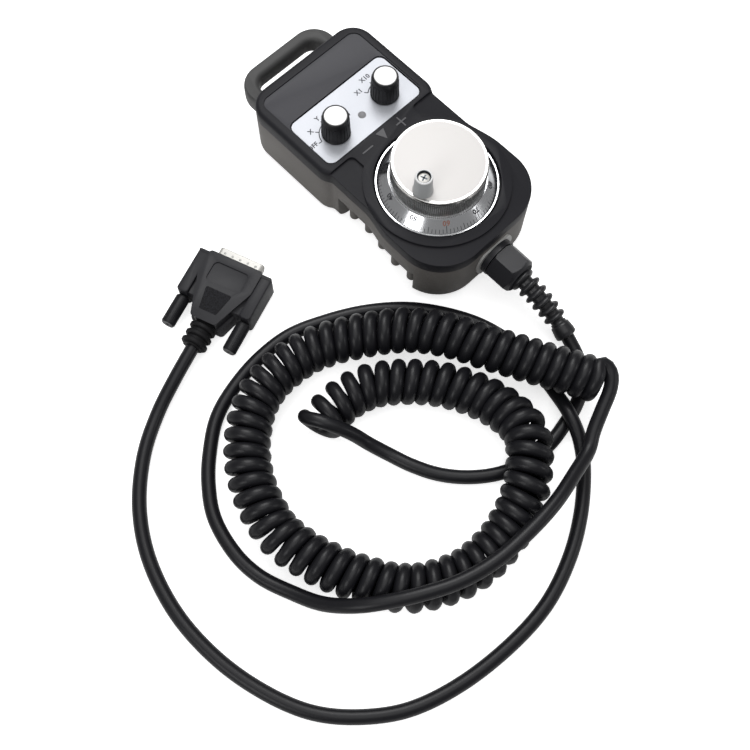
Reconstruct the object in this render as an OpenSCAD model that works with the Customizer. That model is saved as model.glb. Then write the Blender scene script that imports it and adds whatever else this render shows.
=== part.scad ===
// Hand-held manual pulse generator for machine tools: a moulded pendant with a graduated handwheel,
// two rotary selectors, a coiled cord and a 15-way connector with thumbscrews.
// It lies on its back: +Z is the face, +Y the hanger end and -Y the cord end.

/* [Housing] */
// Width of the upper half, mm
head_w = 74; // [60:0.5:90]
// Width at the waist below the shoulders, mm
waist_w = 68.6; // [55:0.1:88]
// Width of the round lobe about the handwheel, mm
lobe_w = 75.2; // [64:0.1:95]
// From the handwheel's axis to the upper end, mm
head_reach = 96.5; // [85:0.5:120]
// From the handwheel's axis to the cord end, mm
tail_reach = 40; // [37:0.5:55]
// From the handwheel's axis to the shoulders, mm
shoulder_reach = 40; // [36:0.5:50]
// Thickness from the back to the raised face, mm
body_h = 38; // [32:0.5:50]
// Height of the joint between the two shells, mm
part_z = 30; // [24:0.5:32]
// Wall of both shells, mm
wall = 2.2; // [1.5:0.1:4]
// Rounding of the back's edges, mm
back_r = 8; // [3:0.5:10]
// Rounding of the face's edges, mm
face_r = 2.4; // [1:0.1:4]

/* [Face] */
// Drop from the lip to the plain field, mm
field_drop = 0.6; // [0.3:0.1:1.5]
// Drop from the lip to the pocket under the plate, mm
pocket_drop = 1.7; // [1:0.1:2.5]
// Drop from the lip to the low shoulders, mm
shoulder_drop = 1.6; // [0.8:0.1:3]
// Width of the plate, mm
plate_w = 62; // [50:0.5:70]
// Length of the plate, mm
plate_l = 30.4; // [24:0.1:36]
// Thickness of the plate, mm
plate_t = 0.5; // [0.3:0.1:1]
// From the handwheel's axis to the plate's near edge, mm
plate_reach = 41; // [38:0.5:48]
// Radius of the raised collar about the handwheel, mm
collar_r = 35.8; // [33:0.1:38]
// Width of the bridge between collar and plate, mm
bridge_w = 40; // [30:0.5:50]
// Diameter of the indicator, mm
lamp_d = 4; // [3:0.5:6]

/* [Grip and hanger] */
// Depth of the side grips, mm
grip_depth = 5; // [2:0.5:6]
// Height of the side grips, mm
grip_h = 20; // [12:0.5:22]
// Length of the side grips, mm
grip_l = 55.2; // [30:0.2:58]
// Ribs in each side grip
grip_ribs = 5; // [3:1:7]
// Width of the hanger loop, mm
loop_w = 57; // [40:0.5:66]
// Reach of the hanger loop beyond the housing, mm
loop_reach = 20.5; // [16:0.5:30]
// Width of the hanger's slot, mm
slot_w = 41; // [24:0.5:48]
// Bar of the hanger loop, mm
loop_bar = 7; // [5:0.5:9]
// Thickness of the hanger loop, mm
loop_t = 10.5; // [7:0.5:13]
// Height of the loop's underside, mm
loop_z = 15.5; // [8:0.5:18]

/* [Handwheel] */
// Diameter of the graduated skirt, mm
dial_d = 60; // [56:0.5:64]
// Diameter of the knurled hub, mm
hub_d = 46.4; // [40:0.2:52]
// Diameter of the polished disc on top, mm
disc_d = 45; // [38:0.5:50]
// Height of the hub above the skirt's rim, mm
hub_h = 17.7; // [12:0.1:22]
// Height of the conical skirt, mm
skirt_h = 5.4; // [4:0.1:10]
// Diameter of the shaft, mm
shaft_d = 6; // [4:0.5:8]
// Diameter of the encoder, mm
encoder_d = 50; // [40:0.5:52]
// Depth of the encoder, mm
encoder_h = 14; // [8:0.5:20]
// From the axis to the crank handle, mm
crank_reach = 17.9; // [12:0.1:18]
// Angle of the crank handle at rest, degrees
crank_angle = 199; // [0:1:359]
// Height of the crank handle, mm
crank_h = 12; // [8:0.5:20]
// Diameter of the crank handle at its foot, mm
crank_d = 9.6; // [8:0.1:11]
// Radial clearance of turning shafts, mm
fit = 0.05; // [0.03:0.01:0.1]

/* [Selectors] */
// Distance between the two selectors, mm
knob_gap = 33; // [28:0.5:38]
// From the handwheel's axis to the selectors, mm
knob_reach = 52.8; // [50:0.1:58]
// Diameter of a knob at its foot, mm
knob_d = 14.4; // [13.6:0.1:18]
// Height of a knob, mm
knob_h = 14.2; // [10:0.1:20]
// Flutes on each knob
knob_flutes = 20; // [12:1:32]
// Diameter of a rotary switch, mm
switch_d = 26; // [18:0.5:28]
// Depth of a rotary switch, mm
switch_h = 15; // [10:0.5:17]

/* [Cord gland] */
// Height of the gland's axis, mm
gland_z = 18; // [14:0.5:20]
// Width across the flats of the gland's nut, mm
gland_af = 18; // [17:0.5:22]
// Length of the gland's nut, mm
gland_nut_l = 14; // [10:0.5:20]
// Turns of the spiral relief
relief_turns = 6; // [4:1:8]
// Diameter of the relief's turns at the gland, mm
relief_d = 13; // [10:0.5:14]

/* [Cord and connector] */
// Diameter of the cord, mm
cord_d = 6.7; // [5:0.1:8]
// Outer diameter of the coiled stretch, mm
coil_d = 22.2; // [16:0.1:24]
// Width of the connector's hood, mm
hood_w = 39.8; // [36:0.1:46]
// Thickness of the connector's hood, mm
hood_t = 15.5; // [13:0.5:18]
// Distance between the thumbscrews, mm
screw_gap = 33.3; // [30:0.1:36]
// Diameter of a thumbscrew's head, mm
screw_d = 7.2; // [5:0.1:7.6]
// Length of a thumbscrew's head, mm
screw_l = 16; // [10:0.5:20]
// Width of the metal shell, mm
dshell_w = 24.9; // [20:0.1:27]
// Height of the metal shell, mm
dshell_h = 8.3; // [7:0.1:10]
// Reach of the metal shell beyond the hood, mm
dshell_l = 6; // [4:0.1:8]

/* [Hidden] */
$fn = 64;
gap = 0.3;                              // free space beside what moves
touch = 0.05;                           // slip between pieces that stay put
skim = 0.2;                             // taken off each rounded end to leave it flat
loop_end = head_reach + loop_reach;
relief_end = 93.4;                      // from the handwheel's axis to the relief's last rim
dial_y = (relief_end - loop_end) / 2;   // the whole pendant is centred on the origin
head_y = dial_y + head_reach;
tail_y = dial_y - tail_reach;
shoulder_y = dial_y + shoulder_reach;
knob_y = dial_y + knob_reach;
knob_x = knob_gap / 2;
plate_y = dial_y + plate_reach + plate_l / 2;

// levels
field_z = body_h - field_drop;
pocket_z = body_h - pocket_drop;
plate_z = pocket_z + plate_t;
shoulder_z = body_h - shoulder_drop;
ceiling_z = pocket_z - 2.3;
floor_z = 2.5;
rim_z = body_h - 1.3;                   // top of the skirt's rim
rim_t = 1.2;
well_z = rim_z - rim_t - 1;             // floor of the handwheel's well
well_r = dial_d / 2 + 0.8;
well_t = 2.5;
hub_z = rim_z + hub_h;
shelf_z = rim_z + skirt_h;
grip_end = shoulder_y - 7;
grip_y = grip_end - grip_l;             // lower end of the side grips
grip_slope = 0.4;                       // lean of the grip's ledge and ends
grip_rib_r = 2.6;
grip_rib_proud = 1.6;                   // how far the ribs stand out of the grip's floor
tail_r = 23;                            // corners of the rounded end

// the case screws stand in the corners and beside the shoulders, on the flat of the back
post_r = 3.5;
case_screw_d = 2.8;
case_head_d = 5.4;
tail_post = tail_r - back_r - case_head_d / 2 - 0.5;
case_posts = [
    for (s = [-1, 1], p = [[head_w / 2 - 10.5, head_y - 11],
                           [head_w / 2 - 10, shoulder_y - 1.5],
                           [lobe_w / 2 - tail_r + tail_post * cos(52), tail_y + tail_r - tail_post * sin(52)]])
        [s * p[0], p[1]]
];

// the board stands on four pillars
board_w = 44;
board_l = 44;
board_t = 1.6;
board_z = 10;
board_y = head_y - 9 - board_l / 2;
pillars = [for (sx = [-1, 1], sy = [-1, 1]) [sx * (board_w / 2 - 4), board_y + sy * (board_l / 2 - 4)]];

// encoder
encoder_z = well_z - well_t;
bush_d = 11.8;
encoder_screw_r = 20;
encoder_screw_d = 2.8;
encoder_screw_l = 7;                    // reach below the encoder's seat

// crank handle
crank_x = crank_reach * cos(crank_angle);
crank_y = dial_y + crank_reach * sin(crank_angle);
crank_z = hub_z + 0.2;
crank_top = crank_z + crank_h;
crank_screw_d = 4;
crank_sink = 3;

// selectors
switch_z = ceiling_z - switch_h;
thread_d = 8;
nut_af = 10;
nut_h = 1.8;
knob_z = plate_z + 0.4;
knob_top = knob_z + knob_h;
cap_d = knob_d - 3.4;
cap_t = 0.8;

// gland
gland_d = 16;
gland_thread = 9.5;                     // thread inside the end wall and the seat
seat_t = 1;
seat_w = gland_d + 8;                   // the seat's width and height
seat_h = gland_d + 2;
flange_t = 3;
flange_d = gland_af + 1.6;
flange_y = tail_y - seat_t - flange_t;
nut_y = flange_y - gap;
nut_end_y = nut_y - gland_nut_l;
bore_d = cord_d + 0.2;

// cord: its centreline leaves the gland, droops to the bench and runs free
relief_route = [
    [0, nut_end_y, gland_z], [0, nut_end_y - 11.9, gland_z - 2.3],
    [0, nut_end_y - 22.9, gland_z - 7], [-1, nut_end_y - 33.8, gland_z - 11.9]
];
lead_route = [
    [-3.5, -113, 3.4], [-8, -120.5, 3.4], [-15.5, -127, 3.4], [-24.5, -131, 3.4], [-35.5, -133.5, 3.4],
    [-47.5, -135, 3.4], [-60.5, -133.5, 3.4], [-73.5, -128.5, 3.4], [-85, -120, 3.4], [-94, -109.5, 3.4],
    [-101.5, -98, 3.4], [-108, -86.5, 3.4], [-114.5, -76, 3.4], [-120.5, -68.5, 4.2], [-126, -61, 6],
    [-126.5, -54.5, 8.5], [-119, -53.5, 10]
];
coil_route = [
    [-119, -53.5, 11.2], [-105, -54.5, 11.2], [-89.5, -58, 11.2], [-75, -68.5, 11.2], [-63.5, -82, 11.2],
    [-55.5, -97.5, 11.2], [-53, -113.5, 14.3], [-55.5, -126, 17.6], [-63.5, -135, 18.2], [-73.5, -142.5, 16.6],
    [-85.5, -148, 13.3], [-99.5, -151, 11.2], [-116, -150.5, 11.2], [-130, -145.5, 11.2],
    [-142.5, -137, 11.2], [-152, -124, 11.2], [-159.5, -109, 11.2], [-164.5, -94, 11.2],
    [-166.5, -79, 11.2], [-163, -63, 11.2], [-156.5, -49, 11.2], [-146, -36.5, 11.2], [-132, -27, 11.2],
    [-116, -23.5, 11.2], [-96, -26, 11.2], [-76.5, -36.5, 13.3], [-58.5, -51, 16.6], [-46.5, -67.5, 18.6],
    [-37.5, -85.5, 19], [-29, -101.5, 19], [-22, -114.5, 19], [-15.5, -126, 19]
];
tail_route = [
    [-13.5, -125, 22], [-9, -131.5, 21], [-9.5, -138.5, 18], [-16.5, -143.5, 15.5], [-27.5, -147, 14],
    [-40.5, -150.5, 14.5], [-54, -153.5, 19], [-70, -156.5, 23.1], [-87, -157.5, 25.2], [-108, -156.5, 25.8],
    [-126, -152, 25.8], [-141.5, -144.5, 25.6], [-154, -136.5, 23.5], [-164.5, -128, 19.5], [-173.5, -116.5, 11.5],
    [-179.5, -103, 6], [-185, -87, 3.4], [-186, -71, 3.4], [-182, -53, 3.4], [-173, -38.5, 3.4],
    [-162, -27, 3.4], [-149.5, -17.5, 3.4], [-134.5, -12, 3.4], [-116, -9, 3.4], [-97, -10, 3.4],
    [-79.5, -16.5, 3.4], [-62, -26, 3.4], [-46, -39, 3.4], [-34, -54.5, 3.4], [-25.5, -71.5, 3.4],
    [-22, -89.5, 3.4], [-23.5, -107.5, 3.4], [-27, -121.5, 6], [-31.5, -132.5, 10.2], [-36.5, -144, 7.5],
    [-45, -155, 3.6], [-61, -167.5, 3.4], [-80, -177.5, 3.4], [-102, -184, 3.4], [-126, -185, 3.4],
    [-153, -181.5, 3.4], [-176.5, -173.5, 3.4], [-194.5, -160.5, 3.4], [-208, -144.5, 3.4],
    [-217, -123.5, 3.4], [-222, -99.5, 3.4], [-222, -73.5, 3.4], [-215.5, -47.5, 3.4], [-203.5, -26, 3.4],
    [-186.5, -8.5, 3.4], [-168.5, 3, 3.6], [-151, 10, 6.3]
];

// connector: its own frame has +Y towards the metal shell and the origin under the hood's front
plug_at = [-92.5, 31.7, 0];
plug_turn = -69.6;
plug_z = hood_t / 2;
hood_l = 33;
wing_l = 24.4;
core_w = 27;
nose_w = 12;
boot_end = 46;
boot_d = 13.2;
cord_end = plug_at + boot_end * [sin(plug_turn), -cos(plug_turn), 0] + [0, 0, plug_z];

// ---------- vectors and outlines ----------
function unit(v) = v / norm(v);
function turn_of(a) = a > 180 ? a - 360 : a < -180 ? a + 360 : a;

// one corner [x, y, r] between its neighbours, as an arc of points, or as it is where r is 0
function corner(a, b, c, step = 15) = b[2] == 0 ? [[b[0], b[1]]] :
    let (u = unit([a[0] - b[0], a[1] - b[1]]),
         w = unit([c[0] - b[0], c[1] - b[1]]),
         half = acos(u * w) / 2,
         mid = [b[0], b[1]] + unit(u + w) * b[2] / sin(half),
         from = [b[0], b[1]] + u * b[2] / tan(half) - mid,
         to = [b[0], b[1]] + w * b[2] / tan(half) - mid,
         a0 = atan2(from[1], from[0]),
         sweep = turn_of(atan2(to[1], to[0]) - a0),
         n = max(1, ceil(abs(sweep) / step)))
    [for (k = [0:n]) mid + b[2] * [cos(a0 + sweep * k / n), sin(a0 + sweep * k / n)]];

function rounded(list) =
    let (n = len(list))
    [for (i = [0:n - 1]) each corner(list[(i + n - 1) % n], list[i], list[(i + 1) % n])];

// an outline drawn in by d along its mitred normals
function inset(pts, d) =
    let (n = len(pts))
    [for (i = [0:n - 1])
        let (e0 = unit(pts[i] - pts[(i + n - 1) % n]),
             e1 = unit(pts[(i + 1) % n] - pts[i]),
             n0 = [e0[1], -e0[0]],
             n1 = [e1[1], -e1[0]])
        pts[i] - d * (n0 + n1) / (1 + n0 * n1)];

function box_outline(w, l, r) =
    rounded([[w / 2, -l / 2, r], [w / 2, l / 2, r], [-w / 2, l / 2, r], [-w / 2, -l / 2, r]]);

// a closed body through rings of equal length, each anticlockwise about the way they follow each other
module loft(rings) {
    n = len(rings[0]);
    m = len(rings);
    polyhedron(
        points = [for (ring = rings) each ring],
        faces = concat(
            [[for (i = [0:n - 1]) i]],
            [for (k = [0:m - 2], i = [0:n - 1])
                [k * n + i, (k + 1) * n + i, (k + 1) * n + (i + 1) % n, k * n + (i + 1) % n]],
            [[for (i = [n - 1:-1:0]) (m - 1) * n + i]]
        ),
        convexity = 6
    );
}

// rings of an outline at [height, inset] stations
function stations(pts, list) =
    [for (s = list) [for (p = inset(pts, s[1])) [p[0], p[1], s[0]]]];

// ---------- routes and tubes ----------
function spline(a, b, c, d, t) =
    0.5 * (2 * b + (c - a) * t + (2 * a - 5 * b + 4 * c - d) * t * t + (3 * b - a - 3 * c + d) * t * t * t);

function smooth(p, m) =
    let (n = len(p))
    concat(
        [for (i = [0:n - 2], k = [0:m - 1])
            spline(p[max(0, i - 1)], p[i], p[i + 1], p[min(n - 1, i + 2)], k / m)],
        [p[n - 1]]
    );

function heading(p, i) = unit(p[min(len(p) - 1, i + 1)] - p[max(0, i - 1)]);

function hoop(p, i, r, sides, along = undef) =
    let (t = along == undef ? heading(p, i) : along,
         side = unit(cross([0, 0, 1], t)),
         up = cross(t, side))
    [for (k = [0:sides - 1]) p[i] + r * (cos(360 * k / sides) * side + sin(360 * k / sides) * up)];

module tube(p, r, sides, first = undef, last = undef) {
    loft([for (i = [0:len(p) - 1])
        hoop(p, i, r, sides, i == 0 ? first : i == len(p) - 1 ? last : undef)]);
}

// ---------- housing ----------
// the share of two neighbouring radii that fits along a slanting edge between them
function share(step, run, radii) =
    min(1, 0.95 * norm([step, run]) / (radii * tan(atan2(abs(step), run) / 2) + 0.001));
waist_share = share((lobe_w - waist_w) / 2, 14, 65);
shoulder_share = share((head_w - waist_w) / 2, 4, 14);
half_outline = [
    [lobe_w / 2, tail_y, tail_r], [lobe_w / 2, dial_y - 2, 40 * waist_share], [waist_w / 2, dial_y + 12, 25 * waist_share],
    [waist_w / 2, shoulder_y - 3, 4 * shoulder_share],
    [head_w / 2, shoulder_y + 1, 10 * shoulder_share], [head_w / 2, head_y, 12]
];
// an outline with a point added wherever it crosses one of the places ys
function crossed(pts, ys) =
    let (n = len(pts))
    [for (i = [0:n - 1])
        let (a = pts[i], b = pts[(i + 1) % n], up = b[1] > a[1],
             met = [for (k = [0:len(ys) - 1])
                 let (y = up ? ys[k] : ys[len(ys) - 1 - k])
                 if ((a[1] - y) * (b[1] - y) < 0) a + (b - a) * (y - a[1]) / (b[1] - a[1])])
        each concat([a], met)];
body_outline = crossed(
    rounded(concat(
        half_outline,
        [for (i = [len(half_outline) - 1:-1:0]) [-half_outline[i][0], half_outline[i][1], half_outline[i][2]]]
    )),
    [for (y = [grip_y - wall, grip_y, grip_end - grip_slope, grip_end - grip_slope + wall]) each [y, y + grip_slope]]);
field_w = plate_w + 2;
field_y0 = dial_y + plate_reach - 0.5;
field_y1 = head_y - 5.5;

// a ring of the housing at height z, drawn in by d and, between the grip's ends, by the grip's depth as
// well; those ends are moved apart by reach, and there is no grip in the ring where reach is undef
function body_ring(z, d, reach) =
    let (plain = inset(body_outline, d), deep = inset(body_outline, d + grip_depth))
    [for (i = [0:len(plain) - 1])
        let (y = body_outline[i][1],
             gripped = reach != undef && y > grip_y - reach + 0.1 && y < grip_end + reach - 0.1,
             p = gripped ? deep[i] : plain[i])
        [p[0], p[1], z]];

// half width of the housing beside a place along it
function half_w(y) =
    let (s = min(1, max(0, (y - (dial_y - 2)) / 14)), low = max(0, tail_y + tail_r - y))
    lobe_w / 2 + s * (waist_w - lobe_w) / 2 - tail_r + sqrt(tail_r * tail_r - low * low);

module at_posts() {
    for (p = case_posts) {
        translate([p[0], p[1], 0]) children();
    }
}

// what lies in the 5 mm above z, to cut a body level there
module level(z) {
    translate([-lobe_w, tail_y - 20, z]) cube([2 * lobe_w, loop_end + tail_reach + 40, 5]);
}

module low_shoulders() {
    translate([0, 0, shoulder_z]) linear_extrude(body_h) difference() {
        translate([-head_w, tail_y - 10]) square([2 * head_w, shoulder_y - 2 - tail_y + 10]);
        translate([0, dial_y]) circle(r = collar_r, $fn = 96);
        polygon(rounded([[bridge_w / 2, dial_y, 1], [bridge_w / 2, shoulder_y - 2, 3],
            [head_w / 2 - 7, shoulder_y - 2, 0], [head_w / 2 - 7, shoulder_y, 0],
            [7 - head_w / 2, shoulder_y, 0], [7 - head_w / 2, shoulder_y - 2, 0],
            [-bridge_w / 2, shoulder_y - 2, 3], [-bridge_w / 2, dial_y, 1]]));
    }
}

module front_shell() {
    color([0.13, 0.13, 0.14]) difference() {
        union() {
            // from the ceiling down the inner wall, round the joint and up to the face
            loft(concat(
                [body_ring(ceiling_z + 1, wall), body_ring(part_z, wall)],
                [body_ring(part_z, 0)],
                [for (a = [0:30:90]) body_ring(body_h + skim - face_r + face_r * sin(a), face_r * (1 - cos(a)))]
            ));
            translate([0, 0, ceiling_z]) linear_extrude(1.6) polygon(inset(body_outline, wall / 2));
            translate([0, dial_y, encoder_z]) cylinder(r = well_r + wall, h = ceiling_z - encoder_z + 1);
            translate([0, 0, part_z]) at_posts() cylinder(r = post_r, h = ceiling_z - part_z + 1);
        }
        level(body_h);
        low_shoulders();
        // plain field and the deeper pocket of the plate
        translate([0, (field_y0 + field_y1) / 2, field_z])
            linear_extrude(body_h) polygon(box_outline(field_w, field_y1 - field_y0, 5));
        translate([0, plate_y, pocket_z])
            linear_extrude(body_h) polygon(box_outline(plate_w + 0.4, plate_l + 0.4, 4));
        // well of the handwheel and the encoder's seat
        translate([0, dial_y, well_z]) cylinder(r = well_r, h = body_h, $fn = 96);
        translate([0, dial_y, 0]) cylinder(d = bush_d + 2 * touch, h = body_h);
        encoder_holes();
        // selectors and indicator
        for (s = [-1, 1]) {
            translate([s * knob_x, knob_y, 0]) cylinder(d = thread_d + 2 * touch, h = body_h);
        }
        translate([0, knob_y - 1, 0]) cylinder(d = lamp_d + 2 * touch, h = body_h);
        at_posts() cylinder(d = case_screw_d + 2 * touch, h = ceiling_z - 1);
    }
}

module encoder_holes() {
    for (a = [90:120:330]) {
        translate([encoder_screw_r * cos(a), dial_y + encoder_screw_r * sin(a), encoder_z - 8])
            cylinder(d = encoder_screw_d + 2 * touch, h = body_h, $fn = 24);
    }
}

module grip_rib(s, y) {
    translate([s * (half_w(y) - grip_depth + grip_rib_proud - grip_rib_r), y, 3])
        cylinder(r = grip_rib_r, h = grip_h - 2.5, $fn = 24);
}

module hanger() {
    z0 = loop_z;
    outer = rounded([[loop_w / 2, head_y - 8, 3], [loop_w / 2, dial_y + loop_end, 13],
        [-loop_w / 2, dial_y + loop_end, 13], [-loop_w / 2, head_y - 8, 3]]);
    slot = rounded([[slot_w / 2, head_y + 1.5, 2], [slot_w / 2, dial_y + loop_end - loop_bar, 6.5],
        [-slot_w / 2, dial_y + loop_end - loop_bar, 6.5], [-slot_w / 2, head_y + 1.5, 2]]);
    edge = [[0, 2.2], [0.8, 0.8], [2.4, 0], [loop_t - 2.4, 0], [loop_t - 0.8, 0.8], [loop_t, 2.2]];
    difference() {
        loft(stations(outer, [for (e = edge) [z0 + e[0], e[1]]]));
        loft(stations(slot, concat(
            [[z0 - 1, -2.2]],
            [for (e = edge) [z0 + e[0], -e[1]]],
            [[z0 + loop_t + 1, -2.2]]
        )));
    }
}

module back_shell() {
    r = back_r - wall;
    color([0.12, 0.12, 0.12]) difference() {
        union() {
            // up the outside, over the joint and down the inside to the floor
            loft(concat(
                [for (a = [0:22.5:90]) body_ring(back_r * (1 - cos(a)) - skim, back_r * (1 - sin(a)), 0)],
                [body_ring(grip_h, 0, 0), body_ring(grip_h + grip_slope, 0)],
                [body_ring(part_z, 0), body_ring(part_z, wall)],
                [body_ring(grip_h + wall + grip_slope, wall), body_ring(grip_h + wall, wall, wall)],
                [for (a = [90:-30:0])
                    body_ring(floor_z - skim + r * (1 - cos(a)), wall + r * (1 - sin(a)), wall)],
                [body_ring(floor_z - 1, wall + r, wall)]
            ));
            // the floor between the rounded edges
            translate([0, 0, floor_z - 1.5]) linear_extrude(1.5)
                polygon([for (p = body_ring(0, wall + r - 0.8, wall / 2)) [p[0], p[1]]]);
            for (s = [-1, 1], k = [0:grip_ribs - 1]) {
                grip_rib(s, grip_y + grip_l * (k + 0.5) / grip_ribs);
            }
            hanger();
            translate([0, 0, floor_z - 1]) at_posts() cylinder(r = post_r, h = part_z - floor_z + 1);
            for (p = pillars) {
                translate([p[0], p[1], floor_z - 1]) cylinder(r = 2.5, h = board_z - floor_z + 1);
            }
        }
        level(-5);
        // case screws sink in from the back
        at_posts() {
            translate([0, 0, -1]) cylinder(d = case_screw_d + 2 * touch, h = body_h);
            translate([0, 0, -1]) cylinder(d = case_head_d + 0.4, h = 4);
        }
        translate([0, tail_y + wall + 1, gland_z]) rotate([90, 0, 0])
            cylinder(d = gland_d + 2 * touch, h = wall + 3);
    }
}

module face_plate() {
    color([0.83, 0.84, 0.86]) difference() {
        translate([0, plate_y, pocket_z])
            linear_extrude(plate_t) polygon(box_outline(plate_w, plate_l, 3.8));
        for (s = [-1, 1]) {
            translate([s * knob_x, knob_y, pocket_z - 1]) cylinder(d = thread_d + 2 * touch, h = 4);
        }
        translate([0, knob_y - 1, pocket_z - 1]) cylinder(d = lamp_d + 2 * touch, h = 4);
    }
}

module indicator_lens() {
    color([0.45, 0.46, 0.47]) translate([0, knob_y - 1, 0]) rotate_extrude($fn = 32) polygon([
        [0, ceiling_z - 1.2], [lamp_d / 2 + 0.6, ceiling_z - 1.2], [lamp_d / 2 + 0.6, ceiling_z],
        [lamp_d / 2, ceiling_z], [lamp_d / 2, plate_z + 0.1], [lamp_d / 4, plate_z + 0.5], [0, plate_z + 0.6]
    ]);
}

module circuit_board() {
    color([0.10, 0.33, 0.18]) difference() {
        translate([-board_w / 2, board_y - board_l / 2, board_z]) cube([board_w, board_l, board_t]);
        for (p = pillars) {
            translate([p[0], p[1], board_z - 1]) cylinder(d = 2, h = 4, $fn = 24);
        }
    }
}

module case_screws() {
    color([0.6, 0.6, 0.62]) at_posts() {
        translate([0, 0, 1.1]) cylinder(d = case_head_d, h = 1.9);
        translate([0, 0, 3]) cylinder(d = case_screw_d, h = ceiling_z - 5);
    }
}

// ---------- handwheel ----------
module dial_skirt() {
    r = dial_d / 2;
    q = hub_d / 2;
    color([0.78, 0.79, 0.80]) translate([0, dial_y, 0]) rotate_extrude($fn = 120) polygon([
        [r - 1.8, rim_z - rim_t], [r, rim_z - rim_t], [r, rim_z - 0.3], [r - 0.3, rim_z], [r - 1, rim_z],
        [r - 1.1, rim_z + 0.3], [q + 0.5, shelf_z], [q - 8, shelf_z], [q - 8, shelf_z - 1.5],
        [q - 0.4, shelf_z - 1.5]
    ]);
}

module wheel_hub() {
    r = hub_d / 2;
    color([0.86, 0.85, 0.84]) difference() {
        translate([0, dial_y, 0]) rotate_extrude($fn = 120) polygon([
            [0, rim_z + 0.6], [8, rim_z + 0.6], [8, shelf_z - 1.5], [r - 8 - touch, shelf_z - 1.5],
            [r - 8 - touch, shelf_z], [r - 0.6, shelf_z], [r, shelf_z + 0.5], [r, hub_z - 1.2],
            [disc_d / 2 + 0.3, hub_z - 0.5], [disc_d / 2, hub_z], [0, hub_z]
        ]);
        translate([0, dial_y, 0]) cylinder(d = shaft_d + 2 * touch, h = hub_z - 4);
        translate([crank_x, crank_y, shelf_z - 0.5]) cylinder(d = crank_screw_d + 2 * touch, h = hub_h);
    }
}

module wheel_shaft() {
    color([0.7, 0.7, 0.72]) translate([0, dial_y, encoder_z - encoder_h + 2])
        cylinder(d = shaft_d, h = hub_z - 4.1 - (encoder_z - encoder_h + 2));
}

module encoder_body() {
    color([0.16, 0.16, 0.17]) difference() {
        translate([0, dial_y, 0]) union() {
            translate([0, 0, encoder_z - encoder_h]) cylinder(d = encoder_d, h = encoder_h);
            translate([0, 0, encoder_z - 1]) cylinder(d = bush_d, h = well_z - encoder_z + 2);
        }
        translate([0, dial_y, encoder_z - encoder_h + 1.8])
            cylinder(d = shaft_d + 2 * fit, h = body_h);
        encoder_holes();
    }
}

module encoder_screws() {
    color([0.65, 0.65, 0.67]) for (a = [90:120:330]) {
        translate([encoder_screw_r * cos(a), dial_y + encoder_screw_r * sin(a), 0]) {
            translate([0, 0, encoder_z - encoder_screw_l])
                cylinder(d = encoder_screw_d, h = well_z - encoder_z + encoder_screw_l + 0.1, $fn = 24);
            translate([0, 0, well_z]) cylinder(d = 5, h = 1.6, $fn = 24);
        }
    }
}

module crank_handle() {
    r = crank_d / 2;
    color([0.55, 0.56, 0.57]) translate([crank_x, crank_y, crank_z]) difference() {
        rotate_extrude($fn = 48) polygon([
            [0, 0], [r - 0.5, 0], [r, 0.5], [r, 1.4], [r - 0.3, 2.4], [r - 0.8, crank_h - 0.5],
            [r - 1.2, crank_h], [0, crank_h]
        ]);
        translate([0, 0, -1]) cylinder(d = crank_screw_d + 2 * fit, h = crank_h + 2);
        translate([0, 0, crank_h - crank_sink]) cylinder(r = r - 1.5, h = crank_sink + 1);
    }
}

module crank_screw() {
    head_z = crank_top - crank_sink + 0.1;
    color([0.7, 0.7, 0.71]) translate([crank_x, crank_y, 0]) difference() {
        union() {
            translate([0, 0, shelf_z + 1]) cylinder(d = crank_screw_d, h = head_z - shelf_z - 1);
            translate([0, 0, head_z]) cylinder(d = crank_d - 3.6, h = 1.8);
        }
        for (a = [0, 90]) {
            translate([0, 0, head_z + 1.5]) rotate([0, 0, a + 20]) cube([3.4, 0.8, 1.2], center = true);
        }
    }
}

// ---------- selectors ----------
module knob(x) {
    r = knob_d / 2;
    ridge = 0.35;
    color([0.07, 0.07, 0.075]) translate([x, knob_y, knob_z]) difference() {
        union() {
            cylinder(r = r, h = 1.6);
            linear_extrude(knob_h, scale = 0.93) polygon([
                for (k = [0:4 * knob_flutes - 1])
                    let (a = 360 * k / (4 * knob_flutes), q = r - (k % 4 < 2 ? 0.3 : 0.3 + ridge))
                    q * [cos(a), sin(a)]
            ]);
        }
        translate([0, 0, -1]) cylinder(d = nut_af / cos(30) + 0.8, h = nut_h + 2);
        translate([0, 0, -1]) cylinder(d = shaft_d + 2 * touch, h = knob_h - 3);
        translate([0, 0, knob_h - cap_t]) cylinder(d = cap_d + 2 * touch, h = cap_t + 1);
    }
}

module cap(x) {
    color([0.92, 0.92, 0.92]) translate([x, knob_y, knob_top - cap_t]) cylinder(d = cap_d, h = cap_t + 0.1);
}

module selector_shaft(x) {
    color([0.7, 0.7, 0.72]) translate([x, knob_y, switch_z + 3])
        cylinder(d = shaft_d, h = knob_top - 4.1 - switch_z - 3);
}

module rotary_switch(x) {
    color([0.12, 0.14, 0.2]) translate([x, knob_y, switch_z]) difference() {
        union() {
            cylinder(d = switch_d, h = switch_h);
            cylinder(d = thread_d, h = plate_z + nut_h - switch_z);
        }
        translate([0, 0, 2.8]) cylinder(d = shaft_d + 2 * fit, h = body_h);
    }
}

module selector_nut(x) {
    color([0.66, 0.66, 0.68]) translate([x, knob_y, plate_z]) difference() {
        cylinder(d = nut_af / cos(30), h = nut_h, $fn = 6);
        translate([0, 0, -1]) cylinder(d = thread_d + 2 * touch, h = nut_h + 2);
    }
}

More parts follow.
